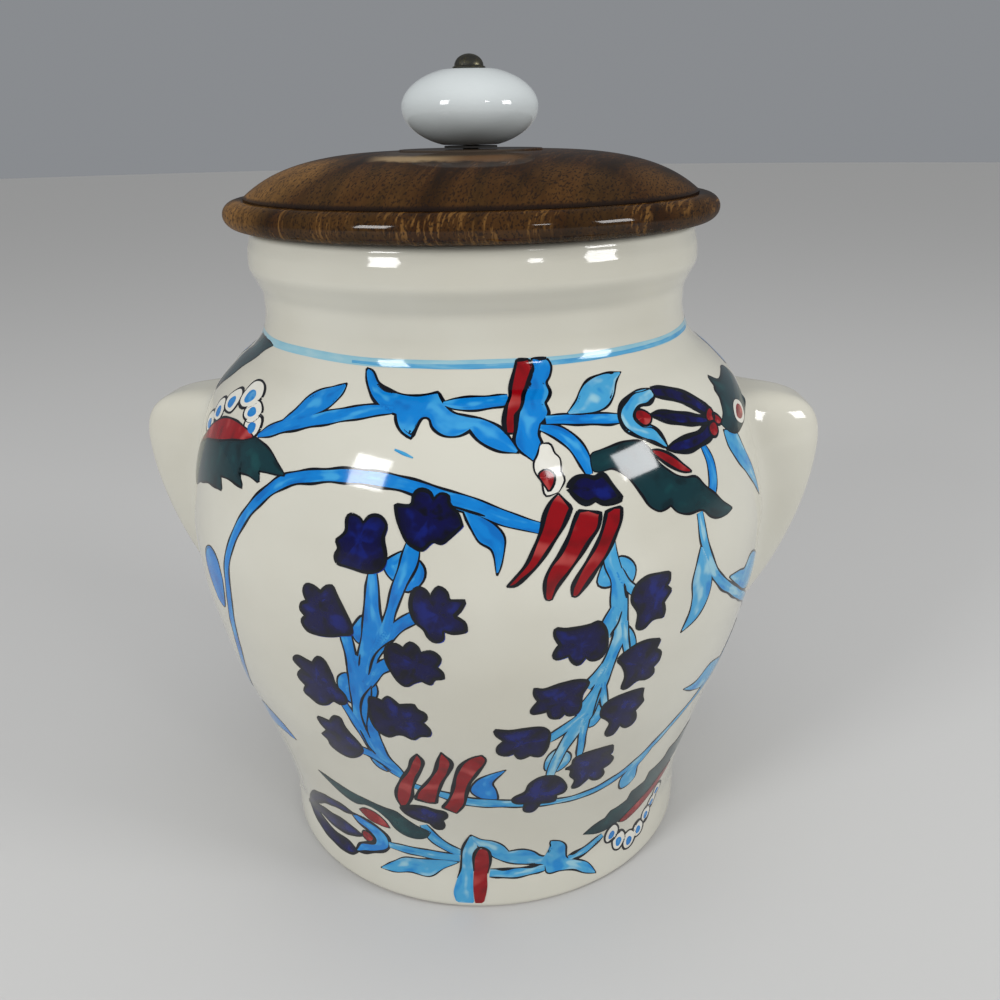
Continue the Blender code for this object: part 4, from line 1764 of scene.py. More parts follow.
# The two scalloped bands with their red bars, and the stems that meet them.
CLOUD_BANDS: Shapes = (
    Leaf(Paint.SKY, (-33, 184), ((-30.4, 183.2), (-27, 180.1), (-22, 178), (-16.5, 176.9),
        (-11, 176.6), (-4.8, 178, 1), (-3.2, 175.4), (0.4, 172), (5, 170.6), (10.4, 169.6),
        (14.6, 167.4), (17.2, 164.8)), ((-31.6, 181), (-28, 176.8), (-24.6, 174.2), (-21, 172),
        (-17, 171.2, 1), (-15.8, 168.4), (-14, 166.2), (-11, 164.6, 1), (-10.2, 168.2), (-8.6, 170.4),
        (-6.2, 170.2), (-4.6, 167.6), (-1, 165.4), (3, 165.4), (6.4, 167.2, 1), (9, 164),
        (14.6, 161.2)), (20.2, 160.2), 1.25),
    Leaf(Paint.SKY, (35, 186.4), ((29.6, 186.5, 1), (29, 182.4), (26.4, 178.9), (24.4, 175.8),
        (22.2, 171.6), (20.7, 167), (19.6, 162.5)), ((36, 184.4), (34.6, 181.6), (32.9, 180),
        (33, 176.9), (30.3, 173.6, 1), (30.6, 170.6), (27.4, 167.7, 1), (26.1, 164.7), (26.6, 161.7)),
        (24.4, 157.6), 1.5),
    Leaf(Paint.RED, (28, 186.6), ((23.8, 186.6, 1), (21.8, 182.8), (20.2, 179.2), (19.6, 176.4),
        (17.9, 173.2), (16.6, 168.4), (17, 165.4, 1)), ((29.2, 184.4), (26.8, 180.9), (25.4, 178.4, 1),
        (24.2, 176.6), (23.4, 174.2, 1), (22.2, 172.2), (20.5, 170.7, 1), (20.2, 168)), (19.4, 165.4),
        1.5, over=True),
    Stroke(Paint.SKY, ((-2.4, 174.6, 1), (2, 174.5, 3.4), (8, 174.6, 3.6), (19, 175.4, 3))),
    Stroke(Paint.SKY, ((-65.6, 158.8, 0.8), (-61, 161, 2.6), (-54.5, 163.8, 3.6), (-46, 166.4, 3.6),
        (-36, 169.2, 3.6), (-24, 171.8, 3.2), (-18.6, 172.2, 2))),
    Stroke(Paint.MIST, ((-15.4, 161.2, 0.5), (-12.4, 160.2, 0.9), (-9.8, 159.3, 0.4)), 0),
    Leaf(Paint.SKY, (-57.6, 164), ((-54.2, 168.2), (-52, 172.6), (-48.6, 175.6), (-43.6, 177.6)),
        ((-50.4, 166.8), (-45.6, 168.4), (-41.2, 171.6), (-39.2, 175.2)), (-39.2, 179.2)),
    Stroke(Paint.SKY, ((29.6, 168.6, 2.4), (36, 168.2, 2.6), (44, 167.4, 2.8), (54, 166.2, 2.4))),
    Leaf(Paint.MIST, (36.6, 169.6), ((41.2, 172.8), (44.6, 176.2), (49.6, 179.2), (56.4, 180.2)),
        ((47, 169.4), (51.4, 170.6), (55.6, 173.4), (59.6, 177.4)), (64.4, 180), 0.8),
    Stroke(Paint.SKY, ((27.4, 166.6, 1.6), (32.4, 164.8, 3), (36.4, 161.2, 3.6), (38.6, 157.2, 3.2),
        (39.6, 153, 1.6))),
    Leaf(Paint.MIST, (-5.6, 0.2), ((-6.6, 3.9), (-5.4, 8.2), (-3.4, 13.2), (-2.6, 18), (-2, 23),
        (0.2, 27.8)), ((2, 0.2, 1), (1.8, 6.4), (2.2, 14.8), (2.8, 20.6), (4.2, 24.8)), (1.8, 30.2), 0),
    Leaf(Paint.RED, (6.2, 0.2), ((2.4, 0.2, 1), (1.9, 6.4), (2.5, 14.8), (2.9, 20.8)), ((7.8, 6.4),
        (7.9, 11.4), (9.2, 17.3), (8.8, 21.8)), (5.8, 23.8), 0),
    Line(((-4.8, 10), (-3.4, 13.2), (-2.6, 18), (-2, 23), (0.2, 27.8), (1.8, 30.4)), 1.1),
    Line(((2.3, 13), (2.8, 20.6), (5.4, 24.2), (8.6, 22.6), (9.4, 17.3), (8.2, 12)), 1.4),
    Leaf(Paint.MIST, (1.8, 30.4), ((5.4, 28.2), (10.4, 26.9), (14.6, 24.3), (16.8, 21.4, 1), (22.9, 21.4),
        (27, 19.8), (30, 17.2), (32.6, 16.4), (34.8, 18.6), (34.4, 23.2, 1), (38.8, 21.8), (41.2, 19.3),
        (41.6, 16.4), (42.4, 13.4), (47.9, 10.6), (53, 8.1)), ((4.4, 25), (7.2, 23.4), (10.4, 19.8),
        (13.8, 17.7), (19.6, 15.6), (26.3, 14.3), (32.4, 12.6), (33.8, 9.4), (39.6, 8.9), (46.3, 7.7),
        (51.3, 4.8)), (57.6, 2.4), 0.9),
    Stroke(Paint.MIST, ((9, 12.2, 3), (20, 11.4, 3.2), (32.6, 11.6, 2.2)), 1.1),
    Stroke(Paint.MIST, ((43.4, 12.8, 1.8), (51, 13.6, 2.8), (60, 17.4, 2)), 1.1),
    Stroke(Paint.MIST, ((-16.4, 33.4, 2.4), (-13, 27.6, 3.4), (-8, 23.6, 3.4), (-2.4, 21, 2.8)), 0.8),
    Stroke(Paint.MIST, ((-34.2, 19.2, 2.6), (-20, 19.2, 3.4), (-3.2, 18.8, 3)), 0.8),
    Leaf(Paint.MIST, (-40.4, 7.4), ((-33.6, 11.6), (-27.8, 14.8), (-19.5, 16), (-9, 17.2)),
        ((-32, 8), (-25.4, 9.6), (-17, 9.4), (-10.4, 13.4)), (-3.6, 16.8), 0.7),
)

# The long scrolling stems, with their curled leaves.
VINES: Shapes = (
    Stroke(Paint.SKY, ((-92, 68, 2.4), (-87, 77, 3), (-82.5, 86.5, 3), (-78.2, 99, 2.7),
        (-75.6, 110, 2.5), (-73.6, 120.5, 2.4), (-68, 132, 2.4), (-59.5, 142, 2.7),
        (-49.5, 149.4, 2.9), (-39, 152.2, 3), (-26, 153.6, 3.2), (-13, 152.8, 3.2),
        (0, 149.4, 3.4), (8, 147, 3.6), (16, 143.8, 3.4), (24.4, 141, 2.6))),
    Leaf(Paint.SKY, (4, 147.2), ((6.6, 141.6), (8.4, 138.6), (11.6, 136.4)), ((9.4, 144.4, 1),
        (12.4, 142.4), (14.6, 139.4), (14.5, 136), (13.6, 132.2)), (12.6, 129.6), 0.9),
    Line(((1, 147.6), (5, 146.4), (10, 144.9))),
    Leaf(Paint.SKY, (-78.4, 113.5), ((-80.5, 119), (-85.5, 121.2), (-90, 118.8), (-91.6, 113)),
        ((-80, 107), (-81.8, 103)), (-86.5, 104), 0.9),
    Leaf(Paint.SKY, (-68, 55), ((-74, 60.5), (-80, 62.2), (-88, 62)), ((-80, 54.8),
        (-88, 53)), (-99, 52), 0.7),
    Stroke(Paint.MIST, ((75.6, 136, 2.4), (76.6, 127, 2.8), (80.2, 118, 2.8), (86, 111.8, 2.8),
        (93, 106.8, 2.8), (102, 101, 2.8), (112, 95.6, 2.6), (121, 90, 2.4),
        (126, 82, 1.4))),
    Leaf(Paint.MIST, (75, 127), ((71.2, 117.6), (71.6, 112), (71, 107)), ((79.4, 117),
        (79.2, 110.6), (75, 105)), (68.2, 102), 0.9),
    Leaf(Paint.MIST, (90.5, 111.8), ((98, 110.8), (103, 109.6), (107, 112), (112, 111.4)),
        ((97, 107), (106, 101.4), (113, 99.8)), (124, 105.4), 0.9),
    Stroke(Paint.MIST, ((-20.4, 55.2, 2), (-14.6, 52.6, 2.2), (-6.4, 50.2, 2.8), (2, 47.4, 3.4),
        (10, 46.4, 3.4), (20, 45.2, 2.8), (32, 43.4, 2), (44, 43, 2), (55, 44.8, 2.2),
        (65, 48.8, 2.2), (75, 55, 2.2), (85, 61.6, 2.2), (96, 68, 2.2), (108, 74.6, 2),
        (118, 84, 1.4))),
    Leaf(Paint.SKY, (8.6, 47.6), ((3.4, 52.6), (5.4, 57.4), (9.4, 60.4)), ((11.8, 48), (11.6, 52.6),
        (10.4, 56.4)), (15, 62.6), 0.9),
    Leaf(Paint.MIST, (74, 53), ((67, 49.6), (61.6, 43.6), (63.4, 38.6), (67.6, 38.6)), ((71, 49),
        (68.8, 46.6), (69.4, 43)), (70, 40.8), 0.9),
    Leaf(Paint.MIST, (78.6, 76.2), ((86, 75.4), (93, 78.6), (101, 77), (108, 73)),
        ((86, 72.4), (94, 69.6)), (100, 70), 0.8),
)

# The two sprays in the middle of the field: buds, stems with the lines on them, and flowers.
HYACINTHS: Shapes = (
    bud((-22.6, 117.2), (-24.8, 115), (-26.3, 112.4), (-25.6, 109.6), (-23.4, 108.6), (-21.6, 113)),
    bud((-11, 135.6), (-13.7, 134.5), (-16.6, 132), (-15.8, 129.6), (-13.6, 128), (-11.4, 131)),
    bud((-8, 133.6), (-6.2, 131.6), (-6.2, 129), (-8.2, 126.4), (-11.2, 125.4), (-10, 130)),
    bud((-29.6, 97.8), (-32.6, 96.2), (-33.8, 92.5), (-33, 89), (-30, 86.8), (-28.6, 92)),
    bud((-22, 96.4), (-21.5, 93.4), (-22.8, 90.2), (-25.2, 88.4), (-25.4, 93)),
    bud((-29.4, 64.8), (-29, 61.5), (-27.4, 59.4), (-24.5, 58.6), (-23.6, 61.5)),
    pale_bud((42, 130.4), (40, 127.6), (39.3, 124.6), (41, 123.5), (43.4, 123.8), (43.2, 127.6)),
    pale_bud((45.4, 130.4), (48.2, 129.8), (50.4, 127.2), (50.2, 124.8), (48.4, 122.6), (46, 125.4)),
    pale_bud((47.8, 110.4), (50.4, 107.6), (51.4, 103.4), (49, 102), (47.4, 106)),
    pale_bud((42.4, 84.8), (44, 81), (43.3, 78.5), (41.4, 76.6), (39.4, 77.4), (39.8, 82)),
    pale_bud((31.4, 69.8), (28.8, 67.6), (27.6, 63.8), (28.4, 60), (30.4, 60), (31.4, 65)),
    pale_bud((33.4, 67.8), (35.6, 65.8), (36, 62.6), (33.8, 59.5), (31.2, 58.6), (31.4, 63.5)),
    stem((-18.6, 55.4, 1.4), (-22.6, 60.6, 4.2), (-25.5, 66.4, 4.6), (-26.7, 72.4, 5.8), (-27.6, 80, 6.4),
        (-27.4, 88, 5.4), (-26.4, 95, 6.4), (-25.7, 100.5, 7.2), (-24.4, 104, 6)),
    stem((-27.4, 98.5, 3.4), (-27.7, 104, 3), (-28.5, 111, 3)),
    stem((-24, 99, 4.4), (-22, 107, 5.2), (-20.3, 113.5, 5.4), (-20.2, 119, 4.4),
        (-19.9, 125, 3), (-19.8, 130.4, 1.8)),
    stem((-21, 106, 3), (-17.2, 112.5, 3.4), (-14.8, 120, 2.3), (-12.5, 127, 3),
        (-10, 133, 4), (-8.8, 138, 3.4)),
    stem((-23.4, 99, 1), (-20.4, 106, 2.4), (-16, 112.4, 3), (-12.4, 116, 3.2),
        (-8.4, 118.6, 3.2)),
    stem((-24.4, 95, 3), (-21.8, 98.4, 3.2), (-19.8, 101.2, 3.2), (-16.6, 103.6, 3.2)),
    stem((-27.4, 67, 1.6), (-28.5, 71, 2.2), (-30, 76.4, 2.4), (-31.8, 81.4, 2.3),
        (-33.8, 86.4, 2.2)),
    stem((-21, 58.4, 1.2), (-26, 63, 2.2), (-29.4, 65.8, 3), (-33, 66.8, 3.2)),
    pale_stem((43.9, 136.4, 1.8), (43.4, 130.5, 3.8), (44.9, 125, 4), (45.3, 119, 4.6),
        (45.9, 113, 4.2), (46.2, 108.5, 3.6), (44.4, 103, 3.4), (42.7, 97.5, 4), (41.7, 92, 3.8),
        (39.9, 87, 4), (38.2, 82, 4.8), (35.6, 76.5, 4), (33.2, 71, 3.4), (31.4, 65, 3),
        (30.3, 59, 2.6), (30, 55.6, 2.2)),
    pale_stem((45.4, 127, 2.4), (47.6, 122.9, 2.5), (50.2, 120.2, 2.6)),
    pale_stem((44.6, 117, 3), (42.8, 112.8, 4), (41.4, 108.6, 3.4)),
    pale_stem((47.2, 112, 2.2), (48, 106, 1.9), (49, 101.6, 1.4)),
    pale_stem((42.4, 99.6, 2.4), (40.2, 96, 3), (37.4, 92.6, 3)),
    pale_stem((41.2, 93, 1), (38.8, 89.2, 1.1), (36.2, 85.2, 1)),
    pale_stem((42.6, 93, 1.6), (43.5, 87.6, 2), (44.6, 83.2, 1.6)),
    pale_stem((38.6, 83, 2.6), (34.4, 79.6, 3), (31, 77, 2.8), (27.4, 74.4, 2.6)),
    pale_stem((38.6, 81, 2.4), (38.6, 73, 2), (39, 67, 1.7), (39.2, 63.6, 1.4)),
    Line(((-15, 111.2), (-18.7, 108), (-20.9, 105), (-23.1, 98.8))),
    Line(((-22.8, 95), (-26.8, 89.1), (-28.3, 83), (-27.4, 73.5))),
    Line(((-24.3, 91), (-25.8, 84), (-27.3, 79), (-27.7, 75)), 0.8),
    Line(((-30.2, 76), (-28.7, 69), (-27.2, 66.2))),
    Line(((-30.8, 64.4), (-27, 62.4), (-23.6, 59)), 0.8),
    Line(((-24.8, 105.2), (-25.6, 101.4)), 0.9),
    Line(((42.2, 91.4), (41.3, 86), (40.9, 81)), 0.9),
    Line(((46.2, 115.4), (45.2, 112), (43, 108.8)), 0.9),
    Line(((46.9, 123.2), (47.5, 119)), 0.9),
    bell((-30.1, 130.8), (-30.6, 132.7), (-29.6, 134.6), (-30.6, 136.7, 1), (-27.7, 139.4), (-27.6, 142.7),
        (-26.7, 143.9), (-23.9, 143.4), (-22.7, 142, 1), (-20.9, 144), (-18.1, 144.2), (-16.2, 142.2),
        (-17, 138.6), (-16.2, 133.6), (-17.3, 130.8), (-20.9, 129.4), (-27, 130.1)),
    bell((-10.3, 138), (-13.1, 143), (-13.9, 147.4, 1), (-9.6, 147.6), (-9, 150), (-7.4, 151.4),
        (-4.6, 150.8), (-3.6, 149, 1), (-1.8, 150.6), (0.4, 150), (0.6, 148.2), (3, 145.5),
        (4, 142.7, 1), (0.8, 139.9), (-1.7, 138.1), (-3.7, 138.6), (-6.7, 136.3), (-8.7, 137)),
    bell((-26.7, 111.3), (-26.4, 113.8), (-28.4, 118.3), (-29.8, 121.1), (-31.2, 124.4, 1), (-33.1, 124),
        (-35.1, 122, 1), (-37.3, 123.3), (-39.8, 123.3), (-40.7, 121.1), (-39.5, 118.4, 1),
        (-41.6, 117.4), (-42.2, 115.2), (-40.6, 113.8, 1), (-42.2, 111.9), (-40.9, 109.4), (-37.6, 108.8),
        (-33.1, 109.4), (-29.8, 110.4)),
    bell((-9.5, 123.6), (-8.1, 126.3), (-5.9, 126.1), (-4.5, 124.2, 1), (-2.4, 126.8), (-0.2, 125.4),
        (0.2, 123.4, 1), (4.4, 123.3, 1), (2.9, 120.6), (1.3, 119.1, 1), (4.1, 117.2), (4.4, 114.7, 1),
        (0.8, 114.1), (-1.6, 114.9, 1), (-1.7, 112.2), (-3.7, 111.4), (-5.4, 112.8), (-6.4, 114.9),
        (-8.6, 117), (-9.6, 120.2)),
    bell((-16.7, 109.1), (-14.2, 109.9), (-12.4, 108.6, 1), (-10.3, 110.8), (-8.4, 109.6), (-7.8, 107.8, 1),
        (-4.8, 108.3), (-2.7, 106.1), (-4, 103.6, 1), (-2.4, 101.9), (-2.2, 99.9, 1), (-4.8, 99.5),
        (-5.8, 97.7), (-8.2, 98.9, 1), (-10.4, 98), (-12.8, 96.5), (-14.8, 98), (-16.4, 101.3),
        (-17.4, 105.2)),
    bell((-32.3, 86.9), (-32.4, 89.1), (-34.8, 92.4), (-35.3, 96.9), (-37, 100.8), (-38.7, 101.1),
        (-41.2, 98.4, 1), (-43.7, 99), (-46.4, 99.2), (-48.4, 97.2), (-46, 94.7, 1), (-47.8, 92.9),
        (-48.6, 91), (-46.5, 88.4, 1), (-48.1, 85.5), (-45.9, 84), (-43.4, 82.6), (-40.1, 83.6),
        (-37.3, 85.8), (-34.8, 85.2)),
    bell((-25.1, 86.3), (-24.2, 90.2), (-22.6, 90.5), (-20.6, 89.7, 1), (-18.5, 91.8), (-15.7, 88.9, 1),
        (-11.2, 89.8, 1), (-10.4, 88), (-8.4, 86.6), (-8.3, 84.7), (-9.7, 83.3, 1), (-7.4, 80.2),
        (-8.1, 78), (-10.9, 77.6), (-13.1, 75.9), (-15.9, 77.2), (-18.1, 77.2), (-20.9, 75.8),
        (-23.7, 77.2), (-25.1, 80.2)),
    bell((-31.7, 68), (-32.6, 70.2), (-34.8, 73.6), (-35.9, 76.3), (-36.3, 79.2, 1), (-38.4, 79.1),
        (-41.2, 76, 1), (-43.7, 76.4), (-45.9, 76.1), (-45.6, 73.6), (-44, 71.3, 1), (-47.3, 68.3, 1),
        (-45.3, 66.3), (-45.3, 63.6), (-43.1, 61.6), (-39.5, 60.8), (-35.9, 62.2), (-32.6, 65.4)),
    bell((49.2, 118.1), (50.1, 121.2), (53.9, 123.4), (58.7, 123.4), (62, 122.8, 1), (61.7, 120.4),
        (60.4, 119.4, 1), (62.6, 117.6, 1), (59.8, 114.5, 1), (60.6, 111.4), (60.1, 109.8, 1),
        (56.4, 110.2), (53.4, 108.2), (51.4, 108.9), (51.4, 113.7)),
    bell((42.4, 106.4), (41.7, 110.9), (39.5, 113.8), (37, 113.4), (30.3, 113.1), (27.6, 113.7),
        (27.3, 111.7), (28.9, 108.7, 1), (27.2, 105.6), (27.8, 104.3), (31.4, 104.9, 1), (32.4, 102.8),
        (34.2, 101.4), (36.2, 103.6, 1), (37.8, 102.1), (39.8, 102), (41.5, 103.4)),
    bell((46.4, 100.1), (50.3, 103.1), (55.3, 103.7), (60.3, 102.7, 1), (59, 99.6, 1), (61.2, 97.8),
        (61.2, 95.1), (59.4, 93.4, 1), (60.2, 90.8), (58.1, 89.5), (54.2, 90.1), (50.9, 88.4), (49.5, 88.9),
        (49.8, 93.1), (48.1, 97.6)),
    bell((36.4, 85.3), (36.4, 90.3), (37.8, 94.5), (34.2, 96), (29.8, 95.6), (24.8, 94.5),
        (22.3, 95.4, 1), (22.3, 93.1), (23.8, 90.3, 1), (21.7, 87.3), (22, 85.9), (26.7, 86.4, 1),
        (27.6, 83.6), (30.1, 82.8), (31.6, 84.7, 1), (33.2, 83.2), (35.4, 83.4)),
    bell((43.7, 80.3), (44.2, 84.2), (47.6, 85.9), (52, 86.4), (57.6, 85.8, 1), (57.9, 82.9),
        (58.9, 80.6, 1), (56.2, 77.6, 1), (57.7, 74.3), (57, 72.3), (54.8, 71.4), (51.7, 73.9, 1),
        (49.8, 70.3), (48.1, 70.3), (47.1, 72), (47.8, 75.6), (45.9, 78.1)),
    bell((27.8, 74.5), (27.6, 77.8), (25.6, 79.9), (20.3, 80.2), (15.3, 80), (11.4, 80.6, 1),
        (12, 78.4), (14.2, 75.9, 1), (12.3, 73.7), (12.4, 70.9), (14.8, 69.5), (17.2, 70.5, 1),
        (19.2, 67.6), (22.3, 69, 1), (25.3, 67.6), (27, 69.8)),
    bell((37.8, 63.1), (40.9, 64.5), (45.3, 64.9), (51.4, 64.5, 1), (52.3, 61), (51.4, 60, 1),
        (53.6, 57.2), (52.8, 55.1), (50.1, 53.9, 1), (51.4, 50.8), (50.3, 49.2), (47.8, 49.5),
        (45.3, 51.4, 1), (41.7, 48.2), (39.5, 48.4), (39.8, 52), (37.8, 54.8), (37.6, 57.8),
        (35.1, 58.9, 1), (37.3, 60.2)),
    bell((30.3, 57), (26.4, 56.7), (23.1, 54.2), (22, 50.6), (18, 48.2), (17.6, 46.8), (19.2, 45.3),
        (22.3, 45, 1), (22.1, 41.4), (23.9, 40.2), (25.9, 40.9), (27.8, 44.2, 1), (33.4, 43.9),
        (33.4, 46.7, 1), (36.4, 47.3), (37, 49.5), (34.8, 53.7)),
)

# The carnations and the saz leaves.
FLOWER_HEADS: Shapes = (
    Leaf(Paint.RED, (-108.6, 147.4), ((-102.9, 151.4), (-98.7, 154.8), (-92.9, 158), (-86.2, 159.8),
        (-77.9, 160), (-71.2, 159.2)), ((-100.4, 150.4), (-90.4, 152.6), (-83.7, 154.1), (-77.9, 155.6),
        (-72, 156.6)), (-67.2, 158.2)),
    Leaf(Paint.GREEN, (-49.8, 150.7), ((-53.3, 153), (-57, 155.5), (-62, 157.2), (-67, 158.1),
        (-72, 156.4), (-78, 155.2), (-83.8, 153.6), (-90.4, 152.2), (-100.4, 150), (-108.7, 147)),
        ((-53, 150.5), (-61.2, 150.2, 1), (-60.2, 147, 1), (-66, 148), (-70.9, 147.7, 1),
        (-67.6, 144, 1), (-74, 144.6), (-81.6, 144.2, 1), (-79, 140.3, 1), (-84, 140.2),
        (-91, 139.6), (-99, 137.4), (-107, 134.7)), (-119, 137)),
    Leaf(Paint.GREEN, (-91.6, 184.7), ((-98.7, 185.1), (-108, 185), (-118, 184.4)), ((-98.6, 182.4),
        (-103.4, 178.8), (-106, 175.8, 1), (-109, 171.6), (-114, 166.4), (-121, 162)),
        (-128, 177), 0.7),
    Leaf(Paint.GREEN, (49.4, 21.8), ((54, 24.4), (59.6, 25.4, 1), (61.6, 28, 1), (66, 28.2),
        (70.4, 29.2, 1), (71.6, 32.6, 1), (75.6, 33), (79.6, 33.8, 1), (80.4, 37.5, 1), (84.4, 37.8),
        (89.6, 39, 1), (92, 42.4, 1), (99, 43), (107, 44.6)), ((56.3, 19.8), (64.6, 19.8),
        (70.4, 21.4), (77.9, 23.9), (86.3, 26.4), (92.1, 28.9), (101.3, 31.4), (109, 34.6)),
        (119, 41), 0.6),
    Leaf(Paint.RED, (68.4, 19.8), ((74, 22.2), (80, 24.2), (88, 26.4), (95, 29.2)), ((73, 18.6),
        (81.3, 20.2), (89.6, 22.8), (97.1, 26.4)), (103, 30.6), 0.5),
    Leaf(Paint.GREEN, (40.6, 156), ((41.2, 158), (44.6, 158.7), (48, 159), (53, 159.6),
        (58, 158.7), (60.4, 156.2), (62.6, 152.4), (67, 148.6), (72, 146.4), (76.4, 145.4),
        (80, 141.8), (83.8, 138.8), (88, 135.4)), ((40.9, 153.9), (43, 153.4), (47.1, 153.8),
        (50.4, 152), (53, 148.9), (55.4, 145.4), (57.2, 142.2), (60.4, 140.2), (64.6, 141, 1),
        (66.6, 138.6), (70.4, 137.2), (74.6, 137, 1), (77.4, 136.4), (80.4, 134), (84.6, 132.2),
        (88.8, 131.8)), (92.6, 132.4)),
    Leaf(Paint.RED, (60.8, 156.2), ((64.4, 155.2), (68.7, 152.6), (72.4, 149.6)), ((63, 154.2),
        (67, 151.2), (71, 148.7)), (75, 147.6), 1.2),
    Leaf(Paint.GREEN, (97, 156.2), ((101.2, 158.4), (103, 160.6), (104.4, 162.8), (104.6, 165.2),
        (106.4, 166.2, 1), (106.8, 168), (108, 169.6, 1), (112, 167.2), (118, 167),
        (128, 168.2), (134, 166.4)), ((101, 153), (108, 151.4), (115, 152.2), (123, 153.4),
        (131, 156.4)), (136.4, 162.6), 0.9),
    Blot(Paint.WHITE, (115.6, 155.4), ((109.6, 155), (112, 158.2), (117, 159), (122.4, 156.4),
        (121, 153.4), (114, 152.2)), 0.5),
    Blot(Paint.RED, (115.8, 155.3), ((111.4, 155), (113.4, 157), (117.2, 157.6), (120.4, 155.8),
        (119.4, 154.2), (114.4, 153.4)), 0),
    Leaf(Paint.MIST, (97, 154.4), ((97.4, 150), (101.2, 144.4), (106.4, 139.4)), ((105.9, 151.2),
        (108.6, 146.6), (114.2, 138)), (120.6, 127.4), 0.8),
    Stroke(Paint.SKY, ((82.8, 153.4, 2), (84.6, 148, 3.2), (84.2, 143, 3.6), (82.4, 139.4, 3.6)),
        0.8),
    Leaf(Paint.SKY, (163, 176), ((157, 177), (150, 176)), ((156, 171), (150.6, 167)),
        (143, 166), 0.8),
    Leaf(Paint.GREEN, (-61.8, 44), ((-57, 43.5), (-52, 42.3), (-44.5, 40.6), (-37, 39.3),
        (-31, 38.2), (-26.4, 37.6), (-23.6, 35.2), (-19.5, 32.4), (-16.2, 31.4)), ((-59.5, 42.3),
        (-55.4, 39.4), (-49.5, 36.2), (-45.4, 35.4), (-40.4, 36.8), (-35.2, 35.6), (-31.4, 32.3),
        (-29.2, 28.6), (-25.4, 26.4), (-20.4, 25.8), (-16.2, 27.3)), (-13.8, 30.2), 0.5),
    Leaf(Paint.RED, (-45, 32.6), ((-41.2, 34.4), (-37, 34), (-33.7, 31.4)), ((-43.2, 31),
        (-40.4, 28.9), (-35.4, 28.1)), (-31.6, 28), 0.5),
)

